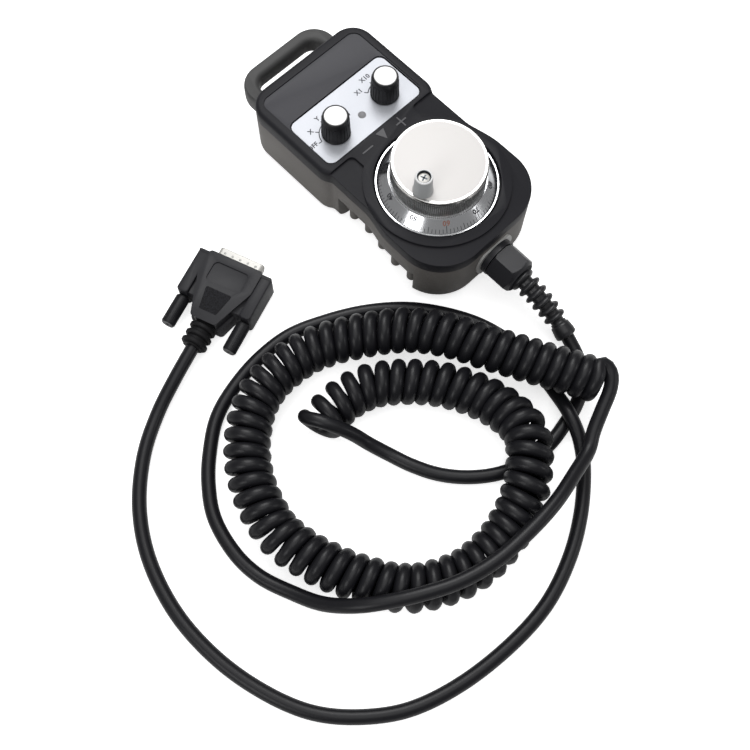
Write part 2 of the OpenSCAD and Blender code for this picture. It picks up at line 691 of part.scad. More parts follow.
module axis_knob() { knob(-knob_x); }
module axis_cap() { cap(-knob_x); }
module axis_shaft() { selector_shaft(-knob_x); }
module axis_switch() { rotary_switch(-knob_x); }
module axis_nut() { selector_nut(-knob_x); }
module step_knob() { knob(knob_x); }
module step_cap() { cap(knob_x); }
module step_shaft() { selector_shaft(knob_x); }
module step_switch() { rotary_switch(knob_x); }
module step_nut() { selector_nut(knob_x); }

// ---------- gland and relief ----------
// a piece turned about the gland's axis, from y to y - l
module on_gland(y) {
    translate([0, y, gland_z]) rotate([90, 0, 0]) children();
}

module gland_washer() {
    color([0.72, 0.72, 0.72]) on_gland(tail_y) difference() {
        intersection() {
            cylinder(d = seat_w, h = seat_t);
            translate([-seat_w / 2, -seat_h / 2, 0]) cube([seat_w, seat_h, seat_t]);
        }
        translate([0, 0, -1]) cylinder(d = gland_d + 2 * touch, h = seat_t + 2);
    }
}

module gland_body() {
    thread_l = gland_thread;
    color([0.09, 0.09, 0.10]) on_gland(tail_y + thread_l) difference() {
        union() {
            cylinder(d = gland_d, h = thread_l + seat_t + 0.5);
            translate([0, 0, thread_l + seat_t]) cylinder(d = flange_d, h = flange_t);
            translate([0, 0, thread_l + seat_t]) cylinder(d = 13, h = flange_t + gland_nut_l - 6);
        }
        translate([0, 0, -1]) cylinder(d = bore_d, h = 60);
        translate([0, 0, thread_l + seat_t + flange_t]) cylinder(d = 11, h = 60);
    }
}

module gland_locknut() {
    color([0.10, 0.10, 0.11]) on_gland(tail_y + wall + 4) difference() {
        cylinder(d = 20 / cos(30), h = 4, $fn = 6);
        translate([0, 0, -1]) cylinder(d = gland_d + 2 * touch, h = 6);
    }
}

module gland_seal() {
    color([0.2, 0.2, 0.2]) on_gland(flange_y) difference() {
        cylinder(d = 11 - 2 * touch, h = gland_nut_l - 3);
        translate([0, 0, -1]) cylinder(d = bore_d, h = gland_nut_l);
    }
}

module gland_nut() {
    af = gland_af / cos(30);
    color([0.10, 0.10, 0.11]) on_gland(nut_y) difference() {
        intersection() {
            cylinder(d = af, h = gland_nut_l, $fn = 6);
            cylinder(d1 = af + 14, d2 = af - 3.2, h = gland_nut_l);
        }
        translate([0, 0, -1]) cylinder(d = 13 + 2 * touch, h = gland_nut_l - 1);
        translate([0, 0, -1]) cylinder(d = bore_d, h = gland_nut_l + 2);
    }
}

// the relief's radius along its length: turns that shrink, then a plain collar
function relief_r(s) =
    let (shrink = 1 - 0.22 * s, wave = (s * relief_turns / 0.78) % 1)
    s > 0.78 ? (s < 0.82 ? 3.9 : 5.2) : s < 0.03 ? 4.4 : (wave < 0.4 ? relief_d / 2 : 4.1) * shrink;

module spiral_relief() {
    p = smooth(relief_route, 2 * relief_turns + 2);
    m = len(p) - 1;
    color([0.09, 0.09, 0.10]) loft([for (i = [0:m])
        hoop(p, i, relief_r(i / m), 14, i < 2 ? [0, -1, 0] : i == m ? relief_out : undef)]);
}

relief_out = unit([-1.3, -8, -1.9]);

// ---------- cord ----------
coil_in = unit(coil_route[1] - coil_route[0]);
coil_out = unit(coil_route[len(coil_route) - 1] - coil_route[len(coil_route) - 2]);

module cord_lead() {
    p = concat([relief_route[3]], lead_route);
    color([0.05, 0.05, 0.055]) tube(p, cord_d / 2, 8, relief_out, coil_in);
}

module cord_coil() {
    color([0.05, 0.05, 0.055]) tube(coil_route, coil_d / 2, 12, coil_in, coil_out);
}

module cord_tail() {
    p = concat(tail_route, [cord_end]);
    color([0.05, 0.05, 0.055]) tube(p, cord_d / 2, 8, coil_out, [-sin(plug_turn), cos(plug_turn), 0]);
}

// ---------- connector ----------
module at_plug() {
    translate(plug_at) rotate([0, 0, plug_turn]) children();
}

// outline of the metal shell, with its short side down
module dee(w, h, r, lean = 10) {
    s = h * tan(lean);
    polygon(rounded([[w / 2 - s, -h / 2, r], [w / 2, h / 2, r], [-w / 2, h / 2, r], [-w / 2 + s, -h / 2, r]]));
}

module plug_hood() {
    color([0.10, 0.10, 0.11]) at_plug() difference() {
        union() {
            // raised core that narrows towards the boot, wider below
            translate([0, 0, plug_z]) linear_extrude(plug_z) polygon(rounded([
                [core_w / 2, 0, 0.6], [-core_w / 2, 0, 0.6], [-core_w / 2, -12, 3],
                [-nose_w / 2, -hood_l, 1], [nose_w / 2, -hood_l, 1], [core_w / 2, -12, 3]]));
            linear_extrude(plug_z) polygon(rounded([
                [core_w / 2, 0, 0.6], [-core_w / 2, 0, 0.6], [-core_w / 2, -14, 3],
                [-8, -hood_l, 2], [8, -hood_l, 2], [core_w / 2, -14, 3]]));
            // wings that carry the thumbscrews
            translate([0, -wing_l / 2, 1.2]) linear_extrude(hood_t - 2.4)
                polygon(box_outline(hood_w, wing_l, 1.2));
        }
        for (s = [-1, 1]) {
            translate([s * screw_gap / 2, 1, plug_z]) rotate([90, 0, 0])
                cylinder(d = 3 + 2 * fit, h = wing_l + 2, $fn = 32);
        }
        // shallow panel and grip patch on the top
        translate([0, -9, hood_t - 0.4]) linear_extrude(1) polygon(box_outline(18.6, 9.6, 1.5));
        translate([0, 0, hood_t - 0.4]) linear_extrude(1) polygon(rounded([
            [6.9, -17.2, 0.5], [-6.9, -17.2, 0.5], [-4.6, -29, 0.5], [4.6, -29, 0.5]]));
    }
}

module plug_boot() {
    color([0.10, 0.10, 0.11]) at_plug() translate([0, -hood_l, plug_z]) rotate([90, 0, 0])
        rotate_extrude($fn = 48) polygon(concat(
            [[0, 0], [boot_d / 2 - 0.5, 0]],
            [for (k = [0:2], q = [[0.6, -1.4], [1.6, -1.4], [2.2, 0], [4, 0]])
                [boot_d / 2 + q[1], q[0] + k * 4.1]],
            [[boot_d / 2, boot_end - hood_l - 0.6], [boot_d / 2 - 0.6, boot_end - hood_l], [0, boot_end - hood_l]]
        ));
}

module plug_shell() {
    color([0.8, 0.79, 0.76]) at_plug() translate([0, dshell_l, plug_z]) rotate([90, 0, 0])
        linear_extrude(dshell_l) difference() {
            dee(dshell_w, dshell_h, 2);
            dee(dshell_w - 1, dshell_h - 1, 1.5);
        }
}

module plug_insulator() {
    color([0.08, 0.08, 0.08]) at_plug() translate([0, 1, plug_z]) rotate([90, 0, 0])
        linear_extrude(1) dee(dshell_w - 1 - 2 * touch, dshell_h - 1 - 2 * touch, 1.4);
}

module plug_pins() {
    pitch = 2.74;
    color([0.83, 0.7, 0.35]) at_plug() for (row = [0, 1], k = [0:7 - row]) {
        translate([(k - (7 - row) / 2) * pitch, 1, plug_z + (row == 0 ? 1.42 : -1.42)])
            rotate([-90, 0, 0]) cylinder(d = 1, h = dshell_l - 1.6, $fn = 16);
    }
}

module thumbscrew(s) {
    color([0.09, 0.09, 0.10]) at_plug() translate([s * screw_gap / 2, -wing_l - gap, plug_z])
        rotate([90, 0, 0]) difference() {
            union() {
                translate([0, 0, -wing_l]) cylinder(d = 3, h = wing_l + 1, $fn = 32);
                rotate_extrude($fn = 48) polygon([
                    [0, 0], [screw_d / 2 - 0.4, 0], [screw_d / 2, 0.4], [screw_d / 2, screw_l - 0.6],
                    [screw_d / 2 - 0.6, screw_l], [0, screw_l]
                ]);
            }
            translate([0, 0, screw_l]) cube([screw_d + 1, 1.2, 3], center = true);
        }
}

module thumbscrew_left() { thumbscrew(-1); }
module thumbscrew_right() { thumbscrew(1); }

front_shell();
back_shell();
face_plate();
indicator_lens();
axis_knob();
axis_cap();
axis_shaft();
axis_switch();
axis_nut();
step_knob();
step_cap();
step_shaft();
step_switch();
step_nut();
dial_skirt();
wheel_hub();
wheel_shaft();
encoder_body();
encoder_screws();
crank_handle();
crank_screw();
circuit_board();
case_screws();
gland_washer();
gland_body();
gland_locknut();
gland_seal();
gland_nut();
spiral_relief();
cord_lead();
cord_coil();
cord_tail();
plug_hood();
plug_boot();
plug_shell();
plug_insulator();
plug_pins();
thumbscrew_left();
thumbscrew_right();
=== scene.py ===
# %% [markdown]
# # A manual pulse generator, dressed in Blender
# The hand-held pendant of a machine tool: a moulded housing with a graduated handwheel, two rotary
# selectors and a coiled cord that ends in a 15-way connector. The solids come from the CAD model as
# a fixed frame. This script gives each its finish, and makes anew those that the CAD only hints at.

# %% Load the frame
import bpy
import bmesh
from mathutils import Matrix, Vector
from math import cos, sin, tan, pi, radians, atan2, sqrt, acos, ceil


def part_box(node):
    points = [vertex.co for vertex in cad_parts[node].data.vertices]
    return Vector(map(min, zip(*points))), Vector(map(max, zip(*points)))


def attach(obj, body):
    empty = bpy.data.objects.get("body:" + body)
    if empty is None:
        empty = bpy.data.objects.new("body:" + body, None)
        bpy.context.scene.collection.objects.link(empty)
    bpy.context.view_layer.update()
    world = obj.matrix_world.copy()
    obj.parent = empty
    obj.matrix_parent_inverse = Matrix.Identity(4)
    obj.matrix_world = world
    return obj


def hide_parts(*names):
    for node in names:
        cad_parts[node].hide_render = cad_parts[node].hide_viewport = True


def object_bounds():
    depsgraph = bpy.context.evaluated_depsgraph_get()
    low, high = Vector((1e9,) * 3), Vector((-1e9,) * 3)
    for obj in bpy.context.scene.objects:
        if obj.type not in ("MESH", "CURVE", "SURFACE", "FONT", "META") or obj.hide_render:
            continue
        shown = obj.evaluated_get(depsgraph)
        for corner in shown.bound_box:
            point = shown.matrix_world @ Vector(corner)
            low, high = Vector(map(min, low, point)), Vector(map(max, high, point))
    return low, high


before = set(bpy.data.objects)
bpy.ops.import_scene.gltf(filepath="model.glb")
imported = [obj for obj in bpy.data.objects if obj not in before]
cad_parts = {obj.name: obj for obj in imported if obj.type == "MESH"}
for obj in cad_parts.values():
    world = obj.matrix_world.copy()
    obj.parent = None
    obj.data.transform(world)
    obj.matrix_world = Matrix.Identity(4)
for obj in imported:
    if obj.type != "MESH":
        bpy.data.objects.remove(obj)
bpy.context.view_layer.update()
MM = 0.001
print("nodes in the frame:", len(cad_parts))

# %% [markdown]
# ## Camera
# A 50 mm lens on a 36 mm sensor looks down steeply at the pendant from its lower left. The camera
# is placed by three things that anyone can read: where it stands, which way it looks and which way
# is up in the picture.

# %% Camera
STAND = Vector((-209.2, -178.0, 468.1)) * MM
LOOK = Vector((0.2570, 0.2498, -0.9336)).normalized()
UPWARDS = Vector((0.6463, 0.6738, 0.3582))


def linked(name, data):
    """An object with this data, in the scene."""
    thing = bpy.data.objects.new(name, data)
    bpy.context.scene.collection.objects.link(thing)
    return thing


def make_camera():
    data = bpy.data.cameras.new("camera")
    data.lens, data.sensor_width, data.clip_start = 50, 36, 0.01
    right = LOOK.cross(UPWARDS).normalized()
    turn = Matrix((right, right.cross(LOOK), -LOOK)).transposed().to_4x4()
    camera = linked("camera", data)
    camera.matrix_world = Matrix.Translation(STAND) @ turn
    bpy.context.scene.camera = camera
    return camera


camera = make_camera()
print("camera height above the bench, mm:", round(STAND.z / MM))

# %% [markdown]
# ## Materials
# Every finish is a Principled shader. Two things make a surface look moulded or machined: the
# roughness varies a little, and there is a fine relief. One helper makes both from a noise in
# Object coordinates, so a finish is a line of numbers: colour, metal, roughness, size of the grain
# in millimetres and height of the relief.

# %% Finishes
def maker(tree):
    """A function that adds a node to the tree, feeds its inputs and gives its first output."""
    def node(kind, inputs=None, **settings):
        made = tree.nodes.new(kind)
        for label, value in settings.items():
            setattr(made, label, value)
        for key, source in (inputs or {}).items():
            if isinstance(source, bpy.types.NodeSocket):
                tree.links.new(source, made.inputs[key])
            else:
                made.inputs[key].default_value = source
        return made.outputs[0] if made.outputs else None
    return node


def finish(name, colour, rough, metal=0.0, grain=0.4, relief=0.0, vary=0.05, tint=0.0, shine=0.5):
    material = bpy.data.materials.new(name)
    material.use_nodes = True
    tree = material.node_tree
    node, shader = maker(tree), tree.nodes["Principled BSDF"].inputs
    for label, value in (("Base Color", (*colour, 1)), ("Metallic", metal), ("Roughness", rough),
                         ("Specular IOR Level", shine)):
        shader[label].default_value = value
    place = tree.nodes.new("ShaderNodeTexCoord").outputs["Object"]
    noise = node("ShaderNodeTexNoise", {"Vector": place, "Scale": 1 / (grain * MM), "Detail": 3})
    spread = node("ShaderNodeMapRange", {"Value": noise, "To Min": max(0.02, rough - vary),
                                         "To Max": min(1, rough + vary)})
    tree.links.new(spread, shader["Roughness"])
    if relief:
        bump = node("ShaderNodeBump", {"Distance": relief * MM, "Height": noise})
        tree.links.new(bump, shader["Normal"])
    if tint:
        ramp = tree.nodes.new("ShaderNodeValToRGB")
        for end, spot, change in zip(ramp.color_ramp.elements, (0.3, 0.7), (1 - tint, 1 + tint)):
            end.position, end.color = spot, (*[min(1, c * change) for c in colour], 1)
        tree.links.new(noise, ramp.inputs["Fac"])
        tree.links.new(ramp.outputs["Color"], shader["Base Color"])
    return material


matt_black = finish("moulded housing", (0.014, 0.014, 0.017), rough=0.50, grain=0.35, relief=0.03,
                    shine=0.16)
field_black = finish("textured field", (0.034, 0.034, 0.041), rough=0.45, grain=0.3, relief=0.03,
                     shine=0.3)
# The back shell's sides are coloured a light brown-grey: painted reflection of the white sheet at
# grazing angles, on the same black plastic as the face.
sides_painted_reflection = finish("sides with painted reflection", (0.120, 0.112, 0.104), rough=0.55, grain=0.5, relief=0.03,
                    tint=0.15)
back_black = finish("moulded back", (0.052, 0.052, 0.052), rough=0.50, grain=0.35, relief=0.03,
                    shine=0.3)
# The symbols are the housing's black plastic, painted a little lighter as a highlight on their
# raised faces.
symbols_painted_lighter = finish("moulded symbols with painted highlight", (0.045, 0.045, 0.050), rough=0.5)
plate_silver = finish("sprayed silver plate", (0.50, 0.515, 0.555), metal=0.15, rough=0.38,
                      grain=0.25, relief=0.006, tint=0.06)
ink = finish("printed ink", (0.05, 0.05, 0.06), rough=0.6, shine=0.2)
knob_black = finish("knob", (0.012, 0.012, 0.014), rough=0.40, shine=0.25)
cap_white = finish("white knob cap", (0.93, 0.93, 0.93), rough=0.45)
lens_grey = finish("clouded lens", (0.24, 0.24, 0.25), rough=0.5, shine=0.2)
bright_metal = finish("turned aluminium", (0.82, 0.81, 0.79), metal=1, rough=0.22, vary=0.04)
skirt_metal = finish("polished skirt", (0.78, 0.79, 0.81), metal=1, rough=0.16, vary=0.03)
disc_metal = finish("faced disc", (0.72, 0.70, 0.685), rough=0.45, vary=0.05, shine=0.3)
steel = finish("plated steel", (0.62, 0.62, 0.62), metal=1, rough=0.28)
# A darker steel that is painted shade: on the hub's upright walls in the knurl's grooves and on the
# metal shell's dimples.
steel_painted_shade = finish("steel in painted shade", (0.30, 0.30, 0.29), metal=0.6, rough=0.4)
crank_grey = finish("crank plastic", (0.38, 0.39, 0.395), rough=0.36, shine=0.4)
# A light grey for the crank's top rim: a painted highlight on the same grey plastic.
crank_top_painted_highlight = finish("crank top with painted highlight", (0.75, 0.75, 0.75), rough=0.4)
# Near-black metal that is painted shade: the lining of the crank's counterbore and the screw's
# recess.
metal_painted_shade = finish("inside of the crank", (0.05, 0.06, 0.07), metal=0.6, rough=0.35)
engraved = finish("filled engraving", (0.04, 0.04, 0.045), rough=0.5, shine=0.2)
engraved_red = finish("red engraving", (0.30, 0.15, 0.12), rough=0.5, shine=0.2)
gland_black = finish("gland nylon", (0.017, 0.017, 0.020), rough=0.36, shine=0.35)
rubber = finish("soft rubber", (0.010, 0.010, 0.011), rough=0.55, shine=0.12)
relief_black = finish("relief", (0.018, 0.018, 0.020), rough=0.34, shine=0.4)
cord_black = finish("cord jacket", (0.008, 0.008, 0.010), rough=0.36, grain=2, vary=0.04,
                    shine=0.28)
hood_black = finish("connector hood", (0.015, 0.015, 0.018), rough=0.45, grain=0.3, relief=0.02,
                    shine=0.26)
pebbled = finish("pebbled patch", (0.008, 0.008, 0.010), rough=0.6, grain=0.7, relief=0.35,
                 tint=0.8, shine=0.15)
nickel = finish("nickel shell", (0.50, 0.49, 0.465), metal=0.35, rough=0.4)
seat_grey = finish("washer", (0.45, 0.45, 0.44), metal=0.3, rough=0.45)
board_green = finish("board", (0.02, 0.16, 0.06), rough=0.4)
switch_blue = finish("switch body", (0.03, 0.04, 0.08), rough=0.5)
gold = finish("gilt contacts", (0.85, 0.62, 0.25), metal=1, rough=0.25)
print("finishes:", len(bpy.data.materials))

# %% [markdown]
# The record names a material slot for each node. The nodes that stay as they are take the finish of
# their slot. The pieces made below bring their own.

# %% Finishes for the frame's own nodes
BY_SLOT = {
    "housing": matt_black, "face_plate": plate_silver, "lens": lens_grey, "knob": knob_black,
    "knob_cap": cap_white, "steel": steel, "switch_body": switch_blue,
    "turned_aluminium": bright_metal, "crank": crank_grey, "board": board_green,
    "seat_washer": seat_grey, "gland": gland_black, "rubber": rubber, "relief": relief_black,
    "cord": cord_black, "hood": hood_black, "plated_shell": nickel, "insulator": hood_black,
    "contact": gold, "thumbscrew": knob_black,
}


def coat(thing, *materials, where=None):
    """Gives the thing these finishes alone, the second one on the faces that where picks."""
    thing.data.materials.clear()
    for material in materials:
        thing.data.materials.append(material)
    if where:
        for face in thing.data.polygons:
            face.material_index = 1 if where(face) else 0


def slot_of(name):
    """The record's slot for a node, found by the name of the node's own material."""
    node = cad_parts[name]
    return node.data.materials[0].name.split(".")[0] if node.data.materials else ""


for name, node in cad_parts.items():
    coat(node, BY_SLOT.get(slot_of(name), matt_black))
print("nodes given a finish:", len(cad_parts))

# %% [markdown]
# ## The cord's route
# A curly cord is a plain round cable wound into a helix and heat-set. It is one cable from the
# gland to the connector, so it is drawn as one line: a straight lead, the helix around a bent axis,
# and a straight tail. The points of each stretch are round numbers in millimetres, as in the CAD
# source. Only where the coil's ends meet the straight stretches do they follow the wire itself, and
# the CAD starts beside its fat tube.

# %% Route points
CORD_D = 6.7
COIL_R = 7.75
TURNS = 73
lead_route = [
    (-1, -104, 6.1), (-3.5, -113, 3.4), (-8, -120.5, 3.4), (-15.5, -127, 3.4), (-24.5, -131, 3.4),
    (-35.5, -133.5, 3.4), (-47.5, -135, 3.4), (-60.5, -133.5, 3.4), (-73.5, -128.5, 3.4),
    (-85, -120, 3.4), (-94, -109.5, 3.4), (-100, -98, 3.4), (-104, -86.5, 3.4), (-108, -76.5, 6.5),
    (-111, -70.5, 12), (-115, -64, 17.2), (-119, -57, 19.2),
]
coil_route = [
    (-121.5, -56, 11.2), (-105, -54.5, 11.2), (-89.5, -58, 11.2), (-75, -68.5, 11.2),
    (-63.5, -82, 11.2), (-55.5, -97.5, 11.2), (-53, -113.5, 14.3), (-55.5, -126, 17.6),
    (-63.5, -135, 18.2), (-73.5, -142.5, 16.6), (-85.5, -148, 13.3), (-99.5, -151, 11.2),
    (-116, -150.5, 11.2), (-130, -145.5, 11.2), (-142.5, -137, 11.2), (-152, -124, 11.2),
    (-159.5, -109, 11.2), (-164.5, -94, 11.2), (-166.5, -79, 11.2), (-163, -63, 11.2),
    (-156.5, -49, 11.2), (-146, -36.5, 11.2), (-132, -27, 11.2), (-116, -23.5, 11.2),
    (-96, -26, 11.2), (-76.5, -36.5, 13.3), (-58.5, -51, 16.6), (-46.5, -67.5, 18.6),
    (-37.5, -85.5, 19), (-29, -101.5, 19), (-22, -114.5, 19), (-13.5, -130, 19),
]
tail_route = [
    (-9.5, -127, 26.4), (-7.5, -130, 25.4), (-9, -134.5, 24), (-14, -138.5, 21.5),
    (-22.5, -142, 19), (-32, -146, 16.5), (-40.5, -150.5, 15.5), (-54, -153.5, 19),
    (-70, -156.5, 23.1), (-87, -157.5, 25.2), (-108, -156.5, 25.8), (-126, -152, 25.8),
    (-141.5, -144.5, 25.6), (-154, -136.5, 23.5), (-164.5, -128, 19.5), (-173.5, -116.5, 11.5),
    (-179.5, -103, 6), (-185, -87, 3.4), (-186, -71, 3.4), (-182, -53, 3.4), (-173, -38.5, 3.4),
    (-162, -27, 3.4), (-149.5, -17.5, 3.4), (-134.5, -12, 3.4), (-116, -9, 3.4), (-97, -10, 3.4),
    (-79.5, -16.5, 3.4), (-62, -26, 3.4), (-46, -39, 3.4), (-34, -54.5, 3.4), (-25.5, -71.5, 3.4),
    (-22, -89.5, 3.4), (-23.5, -107.5, 3.4), (-27, -121.5, 6), (-31.5, -132.5, 10.2),
    (-36.5, -144, 7.5), (-45, -155, 3.6), (-61, -167.5, 3.4), (-80, -177.5, 3.4),
    (-102, -184, 3.4), (-126, -185, 3.4), (-153, -181.5, 3.4), (-176.5, -173.5, 3.4),
    (-194.5, -160.5, 3.4), (-208, -144.5, 3.4), (-217, -123.5, 3.4), (-222, -99.5, 3.4),
    (-222, -73.5, 3.4), (-215.5, -47.5, 3.4), (-203.5, -26, 3.4), (-186.5, -8.5, 3.4),
    (-168.5, 3, 3.6), (-151, 10, 6.3), (-135.5, 15.5, 7.75), (-133, 16.5, 7.75),
]
print("points by hand:", len(lead_route) + len(coil_route) + len(tail_route))

# %% [markdown]
# Two helpers turn points into a line. `smooth` runs a curve through all of them, and `even` walks
# along a line and sets points at an even spacing, which a tube needs if its rings are not to bunch.

# %% Line helpers
def smooth(points, steps):
    """A Catmull-Rom curve through the points, with some steps between each two."""
    p = [Vector(q) for q in points]
    line = []
    for i in range(len(p) - 1):
        a, b, c, d = p[max(0, i - 1)], p[i], p[i + 1], p[min(len(p) - 1, i + 2)]
        for k in range(steps):
            t = k / steps
            line.append(0.5 * (2 * b + (c - a) * t + (2 * a - 5 * b + 4 * c - d) * t * t
                               + (3 * b - a - 3 * c + d) * t ** 3))
    return line + [p[-1]]


def length_of(line):
    return sum((b - a).length for a, b in zip(line, line[1:]))


def even(line, gap):
    """Points along a line, about a gap apart."""
    total = length_of(line)
    count = max(2, round(total / gap))
    out, i, gone = [line[0].copy()], 0, 0.0
    for k in range(1, count):
        want = total * k / count
        while gone + (line[i + 1] - line[i]).length < want:
            gone += (line[i + 1] - line[i]).length
            i += 1
        t = (want - gone) / (line[i + 1] - line[i]).length
        out.append(line[i].lerp(line[i + 1], t))
    return out + [line[-1].copy()]


def frames(line):
    """The direction and two cross directions at each point, carried along without twist."""
    out, side = [], None
    for i in range(len(line)):
        ahead = (line[min(i + 1, len(line) - 1)] - line[max(i - 1, 0)]).normalized()
        if side is None:
            side = Vector((0, 0, 1)).cross(ahead)
        side = (side - ahead * side.dot(ahead)).normalized()
        out.append((ahead, side, ahead.cross(side)))
    return out


# %% [markdown]
# The helix walks around its bent axis and is left-handed. A used cord is a little open where it is
# pulled and tight at its far end, so the pitch starts wide, settles within two turns and narrows
# again over the last ones.

# %% Helix
STEPS, FADE, TIGHT_TURNS = 18, 2.72, 8


def helix(route, turns, radius, start, stop, opened, tight):
    """The coil's wire; start and stop are its angles round the axis at the two ends."""
    axis = even(smooth(route, 8), 0.5)
    marks = frames(axis)
    n = round(turns * STEPS)
    stride = [1 + opened * FADE ** (-k / STEPS) - tight * FADE ** (-(n - k) / STEPS / TIGHT_TURNS)
              for k in range(n)]
    whole, gone, out = sum(stride), 0.0, []
    turned_by = (start - stop + 2 * pi * turns) / n
    for k in range(n + 1):
        place = min(1, gone / whole) * (len(axis) - 1)
        i = min(int(place), len(axis) - 2)
        centre = axis[i].lerp(axis[i + 1], place - i)
        ahead, side, up = marks[i]
        angle = start - turned_by * k
        out.append(centre + radius * (cos(angle) * side + sin(angle) * up))
        gone += stride[k] if k < n else 0
    return out


coil = helix(coil_route, TURNS, COIL_R, radians(45), radians(90), 0.5, 0.14)
print("coil's axis, mm:", round(length_of(smooth(coil_route, 8))),
      " wire in it:", round(length_of(coil)))

# %% [markdown]
# The three stretches become one line of evenly spaced points, and a tube is swept along it. The
# same helper makes the ribbed relief further on: its radius is a function of the way along.

# %% Piece helpers
def shaded(mesh, angle):
    """Smooth shading with sharp edges above an angle."""
    mesh.shade_smooth()
    mesh.set_sharp_from_angle(angle=radians(angle))
    return mesh


def piece(name, points, faces, material, body=None, angle=35, at=None):
    """A mesh from points in millimetres, at its place in the frame, riding on a body."""
    name = name.replace(" ", "_")
    mesh = bpy.data.meshes.new(name)
    place = at or Matrix.Identity(4)
    mesh.from_pydata([(place @ Vector(p)) * MM for p in points], [], faces)
    mesh.materials.append(material)
    shaded(mesh, angle)
    thing = linked(name, mesh)
    if body:
        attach(thing, body)
    return thing


def in_metres(place):
    """The same place for a mesh that is already in metres."""
    place = place.copy()
    place.translation *= MM
    return place


def ring_faces(rings, sides, closed=False):
    """Quads from ring to ring, with a cap at each end or closed round to the first ring."""
    faces = []
    for k in range(rings if closed else rings - 1):
        a, b = k * sides, (k + 1) % rings * sides
        faces += [(a + i, a + (i + 1) % sides, b + (i + 1) % sides, b + i) for i in range(sides)]
    if not closed:
        faces.append(tuple(range(sides - 1, -1, -1)))
        faces.append(tuple((rings - 1) * sides + i for i in range(sides)))
    return faces


def swept(name, line, radius, material, sides=16, angle=60):
    """A tube along a line; radius takes the share of the way along."""
    points = []
    for i, (spot, (ahead, side, up)) in enumerate(zip(line, frames(line))):
        r = radius(i / (len(line) - 1))
        points += [spot + r * (cos(2 * pi * k / sides) * side + sin(2 * pi * k / sides) * up)
                   for k in range(sides)]
    return piece(name, points, ring_faces(len(line), sides), material, "pendant", angle)


# %% The cord
lead_line = smooth(lead_route + [coil[0], coil[2]], 8)[:-8]
tail_line = smooth([coil[-3], coil[-1]] + tail_route, 8)[9:]
cord_line = even(lead_line[:-1] + coil + tail_line, 2.4)
cord = swept("curly cord", cord_line, lambda t: CORD_D / 2, cord_black)
cord_length = length_of(cord_line)
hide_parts("cord_lead", "cord_coil", "cord_tail")
print("cord, mm:", round(cord_length), " rings:", len(cord_line))

# %% [markdown]
# ## The housing's outline
# The housing is two shells that meet at one height. Seen from above it has a wide head, a waist
# that fits the hand, and a round lobe under the handwheel. The outline is drawn as corners with
# radii, the way a designer dimensions it, and every ring of both shells is that outline drawn in
# by some amount. Its main sizes are read from the frame.

# %% Sizes from the frame
def span(node):
    """Lowest and highest corner of a node, in millimetres."""
    lo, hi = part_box(node)
    return Vector(lo) / MM, Vector(hi) / MM


front_lo, front_hi = span("front_shell")
back_hi = span("back_shell")[1]
skirt_lo, skirt_hi = span("dial_skirt")
hub_lo, hub_hi = span("wheel_hub")
plate_lo, plate_hi = span("face_plate")
body_h, part_z = front_hi.z, front_lo.z
head_y, tail_y = front_hi.y, front_lo.y
lobe_w = front_hi.x - front_lo.x
dial_y = (skirt_lo.y + skirt_hi.y) / 2
shoulder_y = dial_y + 40
head_w, waist_w = 74, 68.6
grip_end = shoulder_y - 7
grip_l, grip_depth, grip_h, grip_slope = 55.2, 5, 20, 0.4
grip_y = grip_end - grip_l
TAIL_R = 23
WALL = 2.2
plate_y = (plate_lo.y + plate_hi.y) / 2
KNOB_X, knob_y, lamp_y = 16.5, dial_y + 52.8, dial_y + 51.8
COLLAR_R, WELL_R = 35.8, 30.8
print("housing, mm:", round(lobe_w, 1), "x", round(head_y - tail_y, 1), "x", round(body_h, 1))

# %% Outline helpers
def corner(a, b, c, step):
    """The arc that rounds corner b, or the corner itself where its radius is nought."""
    if b[2] == 0:
        return [Vector(b[:2])]
    p = Vector(b[:2])
    u, w = (Vector(a[:2]) - p).normalized(), (Vector(c[:2]) - p).normalized()
    half = acos(u.dot(w)) / 2
    middle = p + (u + w).normalized() * b[2] / sin(half)
    start, end = p + u * b[2] / tan(half) - middle, p + w * b[2] / tan(half) - middle
    first = atan2(start.y, start.x)
    sweep = (atan2(end.y, end.x) - first + pi) % (2 * pi) - pi
    n = max(1, ceil(abs(sweep) / radians(step)))
    return [middle + b[2] * Vector((cos(first + sweep * k / n), sin(first + sweep * k / n)))
            for k in range(n + 1)]


def rounded(corners, step=5):
    n = len(corners)
    return [p for i in range(n)
            for p in corner(corners[i - 1], corners[i], corners[(i + 1) % n], step)]


def mirrored(half):
    """Corners down one side, then the same ones back up the other side."""
    return half + [(-x, y, r) for x, y, r in reversed(half)]


def moved(outline, x, y):
    return [p + Vector((x, y)) for p in outline]


def polar(r, degrees):
    return Vector((r * cos(radians(degrees)), r * sin(radians(degrees))))


def inset(outline, d):
    """The outline drawn in by d along its mitred normals."""
    out, n = [], len(outline)
    for i, p in enumerate(outline):
        before, after = (p - outline[i - 1]).normalized(), (outline[(i + 1) % n] - p).normalized()
        a, b = Vector((before.y, -before.x)), Vector((after.y, -after.x))
        out.append(p - d * (a + b) / (1 + a.dot(b)))
    return out


def box_outline(w, l, r, step=9):
    return rounded(mirrored([(w / 2, -l / 2, r), (w / 2, l / 2, r)]), step)


def crossed(outline, levels):
    """The outline with a point added wherever it crosses one of the levels in y."""
    out = []
    for a, b in zip(outline, outline[1:] + outline[:1]):
        met = [y for y in levels if (a.y - y) * (b.y - y) < 0]
        out += [a] + [a.lerp(b, (y - a.y) / (b.y - a.y)) for y in sorted(met, reverse=b.y < a.y)]
    return out


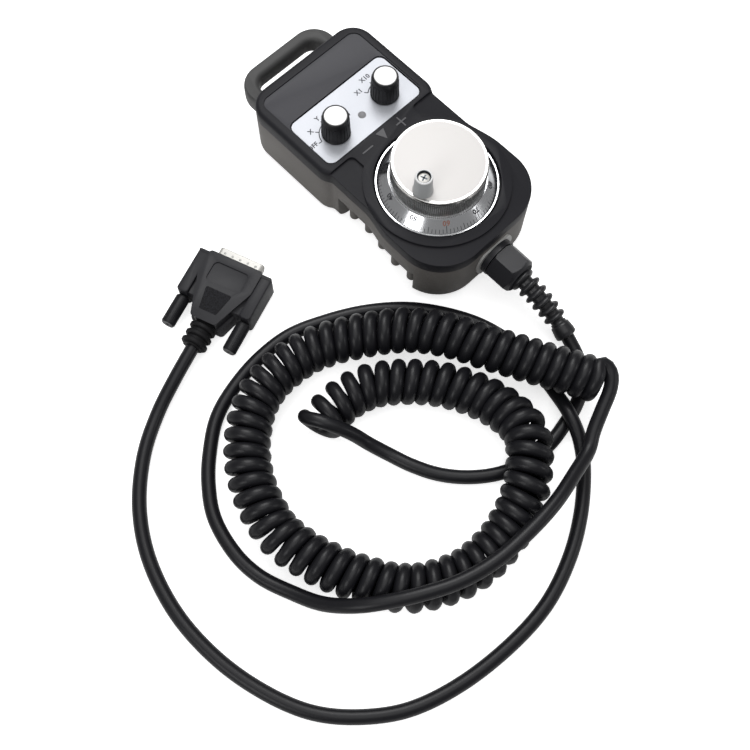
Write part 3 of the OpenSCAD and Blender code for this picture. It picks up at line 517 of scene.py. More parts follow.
half = [(lobe_w / 2, tail_y, TAIL_R), (lobe_w / 2, dial_y - 2, 40),
        (waist_w / 2, dial_y + 12, 25), (waist_w / 2, shoulder_y - 3, 4),
        (head_w / 2, shoulder_y + 1, 10), (head_w / 2, head_y, 12)]
body_outline = crossed(rounded(mirrored(half)), [
    y + lean for y in (grip_y - WALL, grip_y, grip_end - grip_slope, grip_end - grip_slope + WALL)
    for lean in (0, grip_slope)])
print("points in the outline:", len(body_outline))

# %% [markdown]
# ## Solids that are cut
# The shells are made as in a workshop: a rounded block first, then the cavities are cut out with
# booleans, and at last a bevel breaks the sharp edges. That small bevel matters more than any
# detail: it is what catches the light along the lip of a moulded part.

# %% Solid helpers
def block(name, rings, material=matt_black):
    """A closed solid through rings of equal length, each anticlockwise seen from above."""
    points = [p for ring in rings for p in ring]
    return piece(name, points, ring_faces(len(rings), len(rings[0])), material)


def at_height(outline, z):
    return [Vector((p[0], p[1], z)) for p in outline]


def prism(name, outline, low, high):
    return block(name, [at_height(outline, low), at_height(outline, high)])


def drum(name, centre, r, low, high, sides=96):
    return prism(name, moved([polar(r, 360 * k / sides) for k in range(sides)], *centre), low, high)


def settled(thing, angle=35):
    """The object with its modifiers made real."""
    graph = bpy.context.evaluated_depsgraph_get()
    mesh = bpy.data.meshes.new_from_object(thing.evaluated_get(graph), depsgraph=graph)
    thing.modifiers.clear()
    thing.data = mesh
    shaded(mesh, angle)
    return thing


def joined(thing, tools, operation="DIFFERENCE"):
    """thing with the tools taken away, or added, and the tools removed."""
    for tool in tools:
        step = thing.modifiers.new("cut", "BOOLEAN")
        step.object, step.operation, step.solver = tool, operation, "EXACT"
    settled(thing)
    for tool in tools:
        bpy.data.objects.remove(tool)
    return thing


def broken_edges(thing, width):
    """Every edge sharper than 30 degrees broken by a small round."""
    step = thing.modifiers.new("edges", "BEVEL")
    step.width, step.segments, step.limit_method = width * MM, 2, "ANGLE"
    step.angle_limit, step.harden_normals = radians(30), False
    return settled(thing)


# %% [markdown]
# ### Front shell
# The face has a raised lip round the head, a plain field a little lower, and a deeper pocket for
# the plate. Round the handwheel runs a raised collar that a bridge joins to the head, and the
# shoulders on both sides of the bridge are low.

# %% Front shell
FACE_R = 2.4
field_z, shoulder_z = body_h - 0.6, body_h - 1.6
pocket_z, well_z = plate_lo.z, skirt_lo.z - 1
ceiling_z = pocket_z - 2.3


def front_shell():
    """The face and everything that is cut into it."""
    skin = block("front shell", [at_height(body_outline, part_z)] + [
        at_height(inset(body_outline, FACE_R * (1 - cos(radians(a)))),
                  body_h - FACE_R + FACE_R * sin(radians(a))) for a in range(0, 91, 15)])
    over, dial = body_h + 5, (0, dial_y)
    cavity = prism("cavity", inset(body_outline, WALL), part_z - 1, ceiling_z)
    low = prism("low", rounded(mirrored([(head_w, tail_y - 9, 0), (head_w, shoulder_y - 2, 0)])),
                shoulder_z, over)
    bridge = prism("bridge", rounded(mirrored([(20, dial_y, 1), (20, shoulder_y - 2, 3),
                                               (30, shoulder_y - 2, 1), (30, shoulder_y + 2, 1)])),
                   shoulder_z - 1, over + 1)
    joined(low, [drum("collar", dial, COLLAR_R, shoulder_z - 1, over + 1), bridge])
    field_from, field_to = dial_y + 40.5, head_y - 5.5
    field = prism("field", moved(box_outline(64, field_to - field_from, 5),
                                 0, (field_from + field_to) / 2), field_z, over)
    pocket = prism("pocket", moved(box_outline(63, 31.4, 4.2), 0, plate_y), pocket_z, over)
    holes = [drum("well", dial, WELL_R, well_z, over), drum("bush", dial, 6.0, 30, body_h),
             drum("lamp", (0, lamp_y), 2.05, 30, body_h, 32)]
    holes += [drum("bore", (s * KNOB_X, knob_y), 4.05, 30, body_h, 32) for s in (-1, 1)]
    return joined(skin, [cavity, low, field, pocket] + holes)


front = broken_edges(front_shell(), 0.35)
coat(front, matt_black, field_black,
     where=lambda face: abs(face.center.z / MM - field_z) < 0.05 and face.normal.z > 0.99)
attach(front, "pendant")
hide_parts("front_shell")
print("front shell, faces:", len(front.data.polygons))

# %% [markdown]
# ### Back shell
# The deep lower shell has rounded edges, a grip hollow on each side with upright ribs in it, and a
# closed loop at the head end by which the pendant hangs.

# %% Back shell
BACK_R = 8
LOOP_Z = 15.5


def body_ring(z, d, reach=None):
    """The outline at a height, drawn in by d. Between the grip's ends, moved apart by reach, it is
    drawn in by the grip's depth too."""
    plain, deep = inset(body_outline, d), inset(body_outline, d + grip_depth)
    if reach is None:
        return at_height(plain, z)
    low, high = grip_y - reach + 0.1, grip_end + reach - 0.1
    return at_height([b if low < p.y < high else a
                      for a, b, p in zip(plain, deep, body_outline)], z)


def half_width(y):
    s, low = min(1, max(0, (y - dial_y + 2) / 14)), max(0, tail_y + TAIL_R - y)
    return lobe_w / 2 + s * (waist_w - lobe_w) / 2 - TAIL_R + sqrt(TAIL_R ** 2 - low ** 2)


def back_shell():
    def rounding(r, z, d, reach, step):
        """Rings round the lower edge, from the floor up."""
        return [body_ring(z + r * (1 - cos(radians(a))), d + r * (1 - sin(radians(a))), reach)
                for a in range(0, 91, step)]

    skin = block("back shell", rounding(BACK_R, 0, 0, 0, 10) + [
        body_ring(grip_h, 0, 0), body_ring(grip_h + grip_slope, 0), body_ring(part_z, 0)],
        sides_painted_reflection)
    cavity = block("cavity", rounding(BACK_R - WALL, 2.5, WALL, WALL, 30) + [
        body_ring(grip_h + WALL, WALL, WALL), body_ring(grip_h + WALL + grip_slope, WALL),
        body_ring(part_z + 1, WALL)])
    return joined(skin, [cavity])


def hanger():
    low, high, end = LOOP_Z, LOOP_Z + 10.5, back_hi.y
    outer = rounded(mirrored([(28.5, head_y - 4, 1), (28.5, end, 13)]))
    slot = rounded(mirrored([(20.5, head_y + 1.5, 2), (20.5, end - 7, 6.5)]))
    edge = [(0, 2.2), (0.5, 1.1), (1.2, 0.4), (2.4, 0), (8.1, 0), (9.3, 0.4), (10, 1.1),
            (10.5, 2.2)]
    loop = block("loop", [at_height(inset(outer, 0.45 * d), low + z) for z, d in edge], back_black)
    hole = block("hole", [at_height(inset(slot, -2.6), low - 1)]
                 + [at_height(inset(slot, -d), low + z) for z, d in edge]
                 + [at_height(inset(slot, -2.6), high + 1)])
    return joined(loop, [hole])


back = joined(back_shell(), [hanger()], "UNION")
broken_edges(back, 0.3)
RIBS, RIB_R, RIB_PROUD = 5, 2.6, 1.6
ribs = [drum("rib", (s * (half_width(y) - grip_depth + RIB_PROUD - RIB_R), y), RIB_R, 4,
             grip_h + 0.3, 32)
        for s in (-1, 1) for y in [grip_y + grip_l * (k + 0.5) / RIBS for k in range(RIBS)]]
joined(back, ribs, "UNION")
# The back shell's sides take the painted reflection's brown-grey, and the head end with its loop a
# darker black.
coat(back, sides_painted_reflection, back_black, where=lambda face: face.center.y / MM > head_y + 0.1)
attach(back, "pendant")
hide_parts("back_shell")
print("back shell, faces:", len(back.data.polygons))

# %% [markdown]
# ### Symbols on the bridge
# The plus, the arrow and the minus are moulded a hair proud of the bridge, and are painted a shade
# lighter than the skin round them, a painted highlight for the light their raised faces catch.

# %% Moulded symbols
def raised(name, outline, low, high, material, body="pendant", at=None):
    n = len(outline)
    points = [Vector((*p[:2], z)) for z in (low, high) for p in outline]
    return piece(name, points, ring_faces(2, n), material, body, 30, at)


ARM, THIN = (3.2, 3.4), 0.35
bar = [(-1, -1), (1, -1), (1, 1), (-1, 1)]
plus = [(-THIN, -ARM[0]), (THIN, -ARM[0]), (THIN, -THIN), (ARM[0], -THIN)]
plus += [(x, -y) for x, y in reversed(plus)]
plus += [(-x, y) for x, y in reversed(plus[2:6])]
for name, x0, up, shape in (("plus sign", 10.6, 35.3, plus),
                            ("minus sign", -12.3, 34.9, [(x * ARM[1], y * THIN) for x, y in bar]),
                            ("arrow", -1, 36.2, [(0, -3.2), (2.6, 2.4), (-2.6, 2.4)])):
    raised(name, [(x0 + x, dial_y + up + y) for x, y in shape], body_h - 0.1, body_h + 0.1,
           symbols_painted_lighter)
print("symbols: plus, arrow, minus")

# %% [markdown]
# ## Printed scales
# Each selector has a printed arc with a tick for every position and a short word beside it. The ink
# is a film: letters are text objects turned into thin meshes, and the arc is a narrow band.

# %% Printing
plate_z = plate_hi.z


def lettering(word, size, place, material, body, depth=0.04):
    """A word as a thin mesh, centred on the place's origin and lying in its XY plane."""
    curve = bpy.data.curves.new(word, "FONT")
    curve.body, curve.size, curve.extrude = word, size * MM, depth / 2 * MM
    curve.align_x, curve.align_y, curve.resolution_u = "CENTER", "CENTER", 2
    curve.offset = 0.025 * size * MM
    text = linked(word, curve)
    mesh = bpy.data.meshes.new_from_object(text)
    bpy.data.objects.remove(text)
    mesh.transform(in_metres(place))
    thing = linked("word_" + word, mesh)
    coat(thing, material)
    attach(thing, body)
    return thing


ARC_R, TICK_R, LINE, ARC_STEPS = 8.3, 10.2, 0.5, 24


def printed(name, outline):
    """A film of ink on the plate."""
    return raised(name, outline, plate_z - 0.02, plate_z + 0.03, ink)


def scale(name, centre, words):
    """An arc, and at each angle a tick with its word."""
    angles, c = [a for a, _ in words], Vector(centre)
    sweep = (max(angles) - min(angles)) / ARC_STEPS
    arc = [(LINE / 2, min(angles) + sweep * k) for k in range(ARC_STEPS + 1)]
    arc += [(-d, a) for d, a in reversed(arc)]
    printed(name + " arc", [c + polar(ARC_R + d, a) for d, a in arc])
    for a, word in words:
        u, w = polar(1, a), polar(LINE / 2, a + 90)
        printed(name + " " + word, [c + ARC_R * u - w, c + TICK_R * u - w, c + TICK_R * u + w,
                                    c + ARC_R * u + w])
        at = c + polar(11.8 + 0.6 * len(word), a)
        lettering(word, 3.5, Matrix.Translation((*at, plate_z)), ink, "pendant")


scale("axis", (-KNOB_X, knob_y), [(171, "OFF"), (133, "X"), (95, "Y"), (57, "Z"), (19, "4")])
scale("step", (KNOB_X, knob_y), [(131, "X1"), (93, "X10"), (55, "X100")])
print("words printed on the plate: 8")

# %% [markdown]
# ## Selector knobs
# A collet knob has a plain band at its foot and its top, and flutes between them for grip. One
# flute is a narrow box, repeated all round. Geometry Nodes place it: as many points as there are
# flutes are set on a ring, each instance is turned to face outwards, and the result is made real.
# The body is turned, a profile spun about the axis.

# %% Turned and repeated pieces
def outwards(*things, weld=False):
    """Faces turned outwards, and with weld, points that fall together made one."""
    for thing in things:
        work = bmesh.new()
        work.from_mesh(thing.data)
        if weld:
            bmesh.ops.remove_doubles(work, verts=work.verts, dist=1e-7)
        bmesh.ops.recalc_face_normals(work, faces=work.faces)
        work.to_mesh(thing.data)
        work.free()


def turned(name, profile, material, body, at=None, sides=96, angle=30):
    """A profile of (radius, height) spun about Z. It starts and ends on the axis, or it closes."""
    points, faces = [], []
    n = len(profile)
    for k in range(sides):
        a, m = 2 * pi * k / sides, (k + 1) % sides
        points += [Vector((r * cos(a), r * sin(a), z)) for r, z in profile]
        faces += [(k * n + i, m * n + i, m * n + (i + 1) % n, k * n + (i + 1) % n)
                  for i in range(n) if not (profile[i][0] == 0 and profile[(i + 1) % n][0] == 0)]
    thing = piece(name, points, faces, material, body, angle, at)
    outwards(thing, weld=True)
    shaded(thing.data, angle)
    return thing


def upright(lo, hi, z):
    """The place over the middle of a box, at height z."""
    return Matrix.Translation(((lo.x + hi.x) / 2, (lo.y + hi.y) / 2, z))


def ring_tree(name):
    """A tree that sets boxes on a ring, each turned outwards and leant back."""
    tree = bpy.data.node_groups.new(name, "GeometryNodeTree")
    for label, kind in (("Count", "Int"), ("Radius", "Float"), ("Size", "Vector"),
                        ("Lean", "Float"), ("Height", "Float"), ("Material", "Material")):
        tree.interface.new_socket(label, in_out="INPUT", socket_type="NodeSocket" + kind)
    tree.interface.new_socket("Geometry", in_out="OUTPUT", socket_type="NodeSocketGeometry")
    node, given = maker(tree), tree.nodes.new("NodeGroupInput").outputs
    share = node("ShaderNodeMath", {0: node("GeometryNodeInputIndex"), 1: given["Count"]},
                 operation="DIVIDE")
    angle = node("ShaderNodeMath", {0: share, 1: 2 * pi}, operation="MULTIPLY")
    turn = node("ShaderNodeCombineXYZ", {"Z": angle})
    arm = node("ShaderNodeCombineXYZ", {"X": given["Radius"], "Z": given["Height"]})
    spot = node("ShaderNodeVectorRotate", {"Vector": arm, "Angle": angle}, rotation_type="Z_AXIS")
    line = node("GeometryNodeMeshLine", {"Count": given["Count"], "Offset": (0, 0, 0)})
    places = node("GeometryNodeSetPosition", {"Geometry": line, "Position": spot})
    cube = node("GeometryNodeMeshCube", {"Size": given["Size"]})
    lean = node("ShaderNodeCombineXYZ", {"Y": given["Lean"]})
    box = node("GeometryNodeTransform", {"Geometry": cube, "Rotation": lean})
    copies = node("GeometryNodeInstanceOnPoints", {"Points": places, "Instance": box,
                                                   "Rotation": turn})
    real = node("GeometryNodeRealizeInstances", {0: copies})
    node("NodeGroupOutput", {0: node("GeometryNodeSetMaterial", {
        "Geometry": real, "Material": given["Material"]})})
    return tree


ring_of_boxes = ring_tree("boxes on a ring")


def boxes_on_ring(name, count, radius, size, material, body, at, lean, height):
    """The tree's result as a plain mesh, moved to its place."""
    name = name.replace(" ", "_")
    thing = linked(name, bpy.data.meshes.new(name))
    step = thing.modifiers.new("repeat", "NODES")
    step.node_group = ring_of_boxes
    given = {"Count": count, "Radius": radius * MM, "Size": [s * MM for s in size], "Lean": lean,
             "Height": height * MM, "Material": material}
    for socket in ring_of_boxes.interface.items_tree:
        if socket.in_out == "INPUT":
            step[socket.identifier] = given[socket.name]
    settled(thing, 30)
    thing.data.transform(in_metres(at))
    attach(thing, body)
    return thing


# %% Knobs
FLUTES, PLAIN = 24, 4.8


def knob(which, body, pointer):
    lo, hi = span(which + "_knob")
    at = upright(lo, hi, lo.z)
    r, h = (hi.x - lo.x) / 2, hi.z - lo.z
    shank = turned(which + " knob", [
        (3.4, 0), (r - 0.4, 0), (r, 0.4), (r, 1.1), (r - 0.35, 1.5), (r - 0.75, h - 3.4),
        (r - 0.5, h - 3.2), (r - 0.65, h - 0.9), (r - 0.85, h - 0.35), (r - 1.25, h), (r - 1.7, h),
        (r - 1.7, h - 0.8), (3.1, h - 0.8), (3.1, 3.2), (3.4, 3)], knob_black, body, at)
    flutes = boxes_on_ring(which + " knob flutes", FLUTES, r - 0.62, (0.7, 0.85, h - PLAIN),
                           knob_black, body, at, -0.03, 1.5 + (h - PLAIN) / 2)
    rib = at @ Matrix.Rotation(radians(pointer), 4, "Z")
    piece(which + " knob pointer", [
        Vector((x, y, z)) for z, q in ((0.3, r + 0.15), (h - 0.9, r - 0.45))
        for x, y in ((q - 1.3, -0.75), (q, -0.55), (q, 0.55), (q - 1.3, 0.75))],
          ring_faces(2, 4), knob_black, body, 30, rib)
    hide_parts(which + "_knob")
    cap_lo, cap_hi = span(which + "_cap")
    cap_r, cap_h = (cap_hi.x - cap_lo.x) / 2, cap_hi.z - cap_lo.z
    cap = turned(which + " cap", [
        (0, 0), (cap_r, 0), (cap_r, cap_h - 0.25), (cap_r - 0.25, cap_h), (0, cap_h)],
                 cap_white, body, upright(lo, hi, cap_lo.z))
    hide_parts(which + "_cap")
    return len(shank.data.polygons) + len(flutes.data.polygons)


print("knob faces:", knob("axis", "axis_selector", 135), knob("step", "step_selector", 128))

# %% [markdown]
# ## Handwheel
# The graduated skirt is a polished cone with a thin bright rim. A hundred ticks are engraved in it
# and filled with dark paint, every tenth with its number. The hub on top has a fine straight knurl,
# a bright bevel and a faced disc.

# %% Skirt and hub
dial_at = Matrix.Translation((0, dial_y, 0))
rim_z, hub_z = skirt_lo.z + 1.2, hub_hi.z
dial_r, hub_r, disc_r = (skirt_hi.x - skirt_lo.x) / 2, (hub_hi.x - hub_lo.x) / 2, 22.4
shelf_z = skirt_hi.z
WHEEL_SIDES, KNURLS, PLAIN_RIM = 200, 150, 2.2
skirt = turned("skirt", [
    (dial_r - 1.8, rim_z - 1.2), (dial_r - 0.1, rim_z - 1.2), (dial_r, rim_z - 1.1),
    (dial_r, rim_z - 0.3), (dial_r - 0.3, rim_z), (dial_r - 1, rim_z), (dial_r - 1.1, rim_z + 0.3),
    (hub_r + 0.5, shelf_z), (hub_r - 8, shelf_z), (hub_r - 8, shelf_z - 1.5),
    (hub_r - 0.4, shelf_z - 1.5)], skirt_metal, "handwheel", dial_at, WHEEL_SIDES, 20)
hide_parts("dial_skirt")
hub = turned("hub", [
    (4, rim_z + 0.6), (8, rim_z + 0.6), (8, shelf_z - 1.5), (hub_r - 8.05, shelf_z - 1.5),
    (hub_r - 8.05, shelf_z), (hub_r - 0.6, shelf_z), (hub_r - 0.35, shelf_z + 0.5),
    (hub_r - 0.35, hub_z - 1.5), (hub_r - 0.1, hub_z - 1.3), (disc_r + 0.5, hub_z - 0.25),
    (disc_r + 0.1, hub_z), (0, hub_z), (0, hub_z - 3.9), (4, hub_z - 3.9)],
             bright_metal, "handwheel", dial_at, WHEEL_SIDES, 20)
# The hub's upright walls, down between the knurl's teeth, take the darker steel as painted shade.
coat(hub, bright_metal, steel_painted_shade, where=lambda face: abs(face.normal.z) < 0.1)
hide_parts("wheel_hub")
knurl_h = hub_z - shelf_z - PLAIN_RIM
knurl = boxes_on_ring("hub knurl", KNURLS, hub_r - 0.42, (0.8, 0.5, knurl_h), steel, "handwheel",
                      dial_at, 0, shelf_z + 0.5 + knurl_h / 2)
turned("faced disc", [
    (0, hub_z - 0.2), (disc_r - 0.9, hub_z - 0.2), (disc_r - 0.9, hub_z + 0.05),
    (disc_r - 1.1, hub_z + 0.1), (0, hub_z + 0.1)], disc_metal, "handwheel", dial_at, WHEEL_SIDES)
turned("disc line", [
    (disc_r - 0.9, hub_z - 0.1), (disc_r - 0.55, hub_z - 0.1), (disc_r - 0.55, hub_z + 0.02),
    (disc_r - 0.9, hub_z + 0.02)], steel, "handwheel", dial_at, WHEEL_SIDES)
print("skirt, hub and knurl faces:", sum(len(o.data.polygons) for o in (skirt, hub, knurl)))

# %% [markdown]
# The ticks lie on the cone, so each is a thin box leant back by the cone's angle. The numbers are
# letters laid on the cone in the same way, with their feet to the hub. One is filled with red.

# %% Graduation
cone_run, cone_rise = dial_r - 1.1 - (hub_r + 0.5), shelf_z - (rim_z + 0.3)
cone_lean = atan2(cone_run, cone_rise)
FIRST_TEN, RED_TEN = 18, 6


def on_cone(share):
    """Radius and height a share of the way up the cone."""
    return dial_r - 1.1 - cone_run * share, rim_z + 0.3 + cone_rise * share


first_ten = dial_at @ Matrix.Rotation(radians(FIRST_TEN), 4, "Z")
for label, count, long in (("ones", 100, 2.0), ("fives", 20, 2.9), ("tens", 10, 3.7)):
    slant = sqrt(cone_run ** 2 + cone_rise ** 2)
    r, z = on_cone((0.25 + long / 2) / slant)
    boxes_on_ring("ticks of " + label, count, r, (0.06, 0.26, long), engraved, "handwheel",
                  first_ten, -cone_lean, z)
for k in range(10):
    a = radians(FIRST_TEN + 36 * k)
    r, z = on_cone(0.72)
    # the letters lie on the cone with their feet to the hub, and they face outwards
    across = Vector((-sin(a), cos(a), 0))
    up = Vector((-cos(a) * sin(cone_lean), -sin(a) * sin(cone_lean), cos(cone_lean)))
    turn = Matrix((-across, -up, across.cross(up))).transposed().to_4x4()
    spot = Vector((r * cos(a), dial_y + r * sin(a), z))
    lettering(str(k * 10), 3.6, Matrix.Translation(spot) @ turn,
              engraved_red if k == RED_TEN else engraved, "handwheel", 0.1)
print("cone leans back, degrees:", round(cone_lean * 180 / pi, 1))

# %% [markdown]
# ## Crank handle
# The small grey handle spins on its screw. It tapers upwards, its top rim is painted lighter as a
# highlight, and the screw's head sits in a counterbore whose wall is painted dark as shade.

# %% Crank
crank_lo, crank_hi = span("crank_handle")
crank_at = upright(crank_lo, crank_hi, crank_lo.z)
cr, ch = (crank_hi.x - crank_lo.x) / 2, crank_hi.z - crank_lo.z
crank = turned("crank handle", [
    (2.1, 0), (cr - 0.5, 0), (cr, 0.5), (cr, 1.4), (cr - 0.3, 2.4), (cr - 0.7, ch - 0.6),
    (cr - 0.85, ch - 0.2), (cr - 1.2, ch), (cr - 1.5, ch - 0.1), (cr - 1.5, ch - 3), (2.1, ch - 3)],
               crank_grey, "crank", crank_at)
# The upward faces at the crank's top take the painted highlight.
coat(crank, crank_grey, crank_top_painted_highlight,
     where=lambda face: face.normal.z > 0.3 and face.center.z / MM > crank_hi.z - 0.5)
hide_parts("crank_handle")
# A thin dark lining in the counterbore: painted shade on its wall.
turned("crank bore", [
    (cr - 1.66, ch - 2.9), (cr - 1.52, ch - 2.9), (cr - 1.52, ch - 0.15), (cr - 1.66, ch - 0.15)],
       metal_painted_shade, "crank", crank_at)
screw_lo, screw_hi = span("crank_screw")
screw_r, top = (screw_hi.x - screw_lo.x) / 2, screw_hi.z
screw_at = upright(screw_lo, screw_hi, 0)
screw = turned("crank screw", [
    (0, screw_lo.z), (2, screw_lo.z), (2, top - 1.8), (screw_r, top - 1.8), (screw_r, top - 0.7),
    (screw_r - 0.4, top - 0.2), (screw_r - 1.2, top), (0, top)], nickel, "handwheel", screw_at, 48)
for k in range(2):
    lean = Matrix.Rotation(radians(20 + 90 * k), 4, "Z")
    # Each bar of the screw's recess is a flat dark sheet: painted shade in place of a hollow.
    piece("crank screw recess %d" % k, [
        lean @ Vector((x, y, z)) for z in (top - 0.02, top + 0.02)
        for x, y in ((-1.7, -0.4), (1.7, -0.4), (1.7, 0.4), (-1.7, 0.4))],
          ring_faces(2, 4), metal_painted_shade, "handwheel", 30, screw_at)
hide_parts("crank_screw")
print("crank stands", round(crank_hi.z, 1), "mm above the bench")

# %% [markdown]
# ## Cord gland
# A nylon gland clamps the cord: a flange, a hexagon nut whose end is chamfered by the turning
# tool, and a ribbed relief that ends in a plain collar. The chamfer on a hexagon is a cone cut,
# which gives the curved edges that every nut shows, so the nut is a prism cut by a cone.

# %% Gland
nut_lo, nut_hi = span("gland_nut")
gland_z = (nut_lo.z + nut_hi.z) / 2
NUT_AF = 18
TIPPED = Matrix.Rotation(radians(90), 4, "X")


def gland_nut():
    """Made upright, and then tipped so that its Z points down the cord."""
    r, h = NUT_AF / 2 / cos(radians(30)), nut_hi.y - nut_lo.y
    nut = prism("gland nut", [polar(r, a) for a in range(0, 360, 60)], 0, h)
    coat(nut, gland_black)
    cone = turned("cone", [
        (0, -1), (r - 0.9, -1), (r - 0.9, 0), (r + 0.4, 1.4), (r + 0.4, h - 2.6), (r - 2.4, h),
        (r - 2.4, h + 1), (0, h + 1)], gland_black, None)
    joined(nut, [cone], "INTERSECT")
    joined(nut, [drum("bore", (0, 0), 6.55, -1, h - 1, 48),
                 drum("bore", (0, 0), 3.2, -2, h + 1, 48)])
    broken_edges(nut, 0.2)
    nut.data.transform(in_metres(Matrix.Translation((0, nut_hi.y, gland_z)) @ TIPPED))
    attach(nut, "pendant")
    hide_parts("gland_nut")
    return nut


nut = gland_nut()
print("gland nut, faces:", len(nut.data.polygons))

# %% [markdown]
# The relief's ridges are rings that shrink towards the cord. A tube with a wavy radius bends with
# the cord, and a rounded wave gives each ridge its soft crest.

# %% Relief
RIDGES = 6
relief_route = [(x, nut_lo.y + y, gland_z + z) for x, y, z in (
    (0, 0.1, 0), (0, -4, -0.5), (0, -11.9, -2.3), (0, -22.9, -7), (-1, -33.8, -11.9))]


def relief_radius(s):
    if s > 0.985:
        return 5.2 - 40 * (s - 0.985)
    if s > 0.82:
        return 5.2 if s > 0.93 else 4.6 + 0.6 * (s - 0.82) / 0.11
    if s > 0.78:
        return 3.9
    shrink = 1 - 0.22 * s
    wave = (s * RIDGES / 0.78) % 1
    crest = max(0, sin(pi * min(1, wave / 0.62))) ** 0.45
    return (4.0 + 2.5 * crest) * shrink


relief = swept("ribbed relief", even(smooth(relief_route, 24), 0.28), relief_radius, relief_black,
               40, 70)
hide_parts("spiral_relief")
print("relief, faces:", len(relief.data.polygons))

# %% [markdown]
# ## Connector
# The hood is two moulded halves on a 15-way connector: a raised core that narrows towards the
# cord, wings on both sides that carry the thumbscrews, a recessed panel and a pebbled grip patch.
# It is built lying along Y at the origin and then turned to where the connector lies.

# %% Connector's place
plug_at = Matrix.Translation((-92.5, 31.7, 0)) @ Matrix.Rotation(radians(-69.6), 4, "Z")
HOOD_W, HOOD_T, HOOD_L, WING_L = 39.8, 15.5, 33, 24.4
MID_Z, JACK_X = HOOD_T / 2, 16.65
down_plug = plug_at @ Matrix.Translation((0, 0, MID_Z)) @ TIPPED
print("connector lies at, mm:", [round(c, 1) for c in plug_at.translation])

# %% Hood
def shifted(y, w, l, *more):
    """A rounded box moved along Y."""
    return moved(box_outline(w, l, *more), 0, y)


def core(narrow, foot, r):
    """The hood's core, clockwise: wide at the connector, narrow where the cord leaves it."""
    return rounded(mirrored([(foot, -HOOD_L, r), (13.5, narrow, 3), (13.5, 0, 0.6)])[::-1], 12)


def hood():
    upper = block("upper", [at_height(inset(core(-12, 6, 1), d), z) for z, d in (
        (MID_Z, 0), (HOOD_T - 0.9, 0), (HOOD_T - 0.3, 0.3), (HOOD_T, 0.9))])
    lower = prism("lower", core(-14, 8, 2), 0, MID_Z)
    outwards(upper, lower)
    wings = []
    for s in (-1, 1):
        outer = moved(box_outline(HOOD_W / 2 - 13.9, WING_L, 1.8, 15),
                      s * (13.9 + HOOD_W / 2) / 2, -WING_L / 2)
        wings.append(block("wing", [at_height(inset(outer, d), z) for z, d in (
            (1.2, 0.6), (1.8, 0), (HOOD_T - 1.4, 0), (HOOD_T - 0.8, 0.25), (HOOD_T - 0.6, 0.7))]))
    web = prism("web", shifted(-WING_L / 2 + 0.3, 34, WING_L - 1.6, 1), 2.0, HOOD_T - 2.6)
    flange = prism("flange", shifted(-0.9, HOOD_W - 0.4, 1.6, 0.75), 1.0, HOOD_T - 0.4)
    body = joined(upper, [lower, web, flange] + wings, "UNION")
    cuts = [block("panel", [at_height(shifted(-9, w, l, 2.4), z) for w, l, z in (
        (18.6, 11, HOOD_T - 0.7), (19, 11.4, HOOD_T + 1))])]
    for s in (-1, 1):
        bore = drum("bore", (0, 0), 1.6, -1, WING_L + 1, 32)
        bore.data.transform(in_metres(Matrix.Translation((s * JACK_X, 0.9, MID_Z)) @ TIPPED))
        cuts.append(bore)
    joined(body, cuts)
    broken_edges(body, 0.22)
    coat(body, hood_black)
    body.data.transform(in_metres(plug_at))
    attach(body, "pendant")
    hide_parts("plug_hood")
    return body


hood_piece = hood()
patch = raised("pebbled patch", rounded(mirrored([(6.9, -17.2, 0.8), (4.6, -29, 0.8)])[::-1]),
               HOOD_T - 0.1, HOOD_T + 0.12, pebbled, "pendant", at=plug_at)
outwards(patch)
print("hood, faces:", len(hood_piece.data.polygons))

# %% Boot
BOOT_R, BOOT_L = 6.6, 13
BOOT_RIBS, RIB_PITCH = 3, 4.1
rib = [(0.5, -1.4), (1.4, -1.4), (1.6, -0.5), (2.1, 0), (3.4, 0), (3.9, -0.5), (4.0, -1.4)]
boot = turned("boot", [(0, -1), (BOOT_R - 1.4, -1)]
              + [(BOOT_R + q, z + RIB_PITCH * k) for k in range(BOOT_RIBS) for z, q in rib]
              + [(BOOT_R - 1.2, BOOT_L - 0.5), (BOOT_R - 1.6, BOOT_L), (0, BOOT_L)],
              rubber, "pendant", down_plug @ Matrix.Translation((0, 0, HOOD_L)), 64)
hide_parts("plug_boot")
print("boot, faces:", len(boot.data.polygons))

# %% [markdown]
# The metal shell is a thin D-shaped wall with a row of pressed dimples, each drawn as a dark disc
# of painted shade. It is made as two outlines, one inside the other, with a rounded lip.

# %% Metal shell
def dee(w, h, r):
    """A D seen from the front: its sides lean by ten degrees."""
    return rounded(mirrored([(w / 2 - h * tan(radians(10)), -h / 2, r), (w / 2, h / 2, r)]), 10)


def metal_shell():
    outer, inner = dee(24.9, 8.3, 2), dee(23.9, 7.3, 1.5)
    rings = [(outer, 0), (outer, -5.7), (inset(outer, 0.2), -6), (inset(outer, 0.4), -5.9),
             (inner, -5.7), (inner, 0)]
    points = [p for ring, z in rings for p in at_height(ring, z)]
    wall = piece("metal shell", points, ring_faces(len(rings), len(outer), closed=True), nickel,
                 "pendant", 30, down_plug)
    outwards(wall)
    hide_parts("plug_shell")
    for k in range(5):
        at = plug_at @ Matrix.Translation(((k - 2) * 4.2, 3.4, MID_Z + 4.13))
        # Each dimple is a flat dark steel disc on the shell: painted shade in place of a hollow.
        turned("dimple", [(0, -0.06), (0.75, -0.06), (0.55, 0.06), (0, 0.1)], steel_painted_shade,
               "pendant", at, 16)
    return wall


print("metal shell, faces:", len(metal_shell().data.polygons))

# %% [markdown]
# The thumbscrews turn on their own. Each head is a cylinder with a fine straight knurl, from the
# same tree as the hub's, and a dimple in its end.

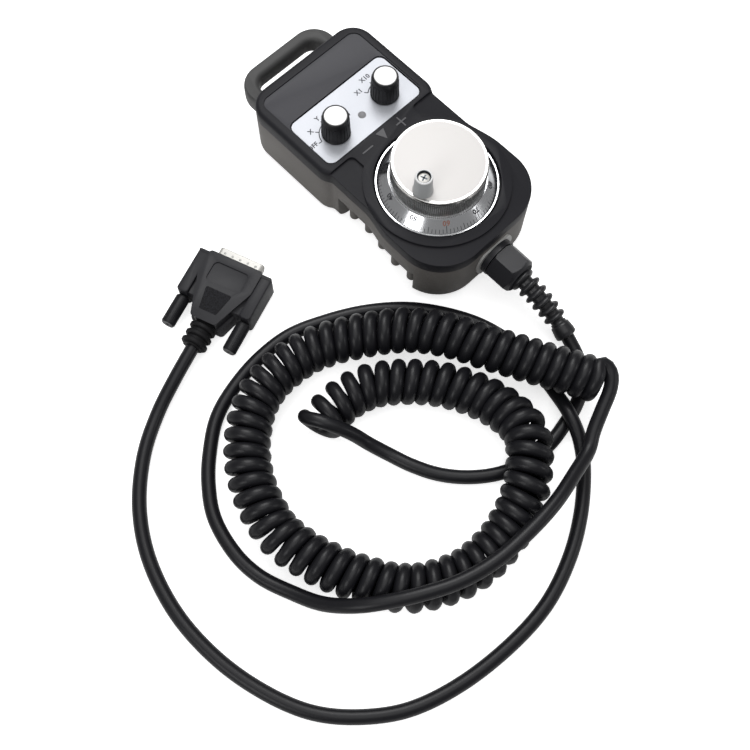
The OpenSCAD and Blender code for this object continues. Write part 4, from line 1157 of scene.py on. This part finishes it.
# %% Thumbscrews
def thumbscrew(side, s):
    body = side + "_thumbscrew"
    at = down_plug @ Matrix.Translation((s * JACK_X, 0, WING_L + 0.3))
    head = turned(side + " thumbscrew", [
        (0, -WING_L), (1.45, -WING_L), (1.45, 0), (3.0, 0), (3.35, 0.4), (3.35, 15.2), (3.0, 15.9),
        (0.7, 15.9), (0.7, 15.0), (0, 15.0)], knob_black, body, at, 48)
    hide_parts("thumbscrew_" + side)
    boxes_on_ring(side + " knurl", 32, 3.28, (0.4, 0.36, 14.4), knob_black, body, at, 0, 7.9)
    return head


thumbscrew("left", -1)
thumbscrew("right", 1)

# %% [markdown]
# ## Bench and light
# The pendant lies on a white sheet under large soft lamps. The lamps are low in strength, so that
# each colour shows about as it is written, and the white of the ground comes from what the camera
# sees there: a plain white, dimmed only where the pendant shades it.

# %% Bench
def white_ground():
    material = bpy.data.materials.new("white sheet")
    material.use_nodes = True
    tree = material.node_tree
    tree.nodes.clear()
    node = maker(tree)
    sheet = node("ShaderNodeBsdfDiffuse", {"Color": (0.93, 0.93, 0.93, 1)})
    glow = node("ShaderNodeEmission", {"Color": (1, 1, 1, 1), "Strength": 0.68})
    lit = node("ShaderNodeAddShader", {0: sheet, 1: glow})
    mix = node("ShaderNodeMixShader", {"Fac": node("ShaderNodeLightPath"), 1: sheet, 2: lit})
    node("ShaderNodeOutputMaterial", {"Surface": mix})
    return material


lo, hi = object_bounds()
REACH, BENCH_Z = 6.0, -0.6 * MM
bench_mesh = bpy.data.meshes.new("bench")
bench_mesh.from_pydata([(x * REACH, y * REACH, BENCH_Z) for x, y in bar], [], [(0, 1, 2, 3)])
bench_mesh.materials.append(white_ground())
bench = linked("bench", bench_mesh)
SKY, SEEN_SKY = 0.25, 1.0
world = bpy.data.worlds.new("studio")
world.use_nodes = True
sky, node = world.node_tree.nodes["Background"].inputs, maker(world.node_tree)
sky["Color"].default_value = (1, 1, 1, 1)
strength = node("ShaderNodeMapRange", {"Value": node("ShaderNodeLightPath"), "To Min": SKY,
                                       "To Max": SEEN_SKY})
world.node_tree.links.new(strength, sky["Strength"])
bpy.context.scene.world = world
print("bench at z, mm:", BENCH_Z / MM)

# %% Lamps
def lamp(name, place, size, power):
    """A square lamp at a place seen from the middle, which it faces."""
    data = bpy.data.lights.new(name, "AREA")
    data.shape, data.size, data.energy = "SQUARE", size, power
    thing = linked(name, data)
    thing.location = centre + place
    thing.rotation_euler = (-place).to_track_quat("-Z", "Y").to_euler()
    return thing


centre = (lo + hi) / 2
lamp("key", Vector((0.35, 0.45, 0.75)), 0.5, 4.5)
lamp("fill", Vector((-0.85, -0.12, 0.58)), 0.45, 2.2)
lamp("low", Vector((0.54, -0.73, 0.42)), 0.22, 0.7)
lamp("top", Vector((0.0, 0.0, 0.9)), 0.9, 4)
bpy.context.scene.view_settings.view_transform = "Standard"
print("lamps: 4")
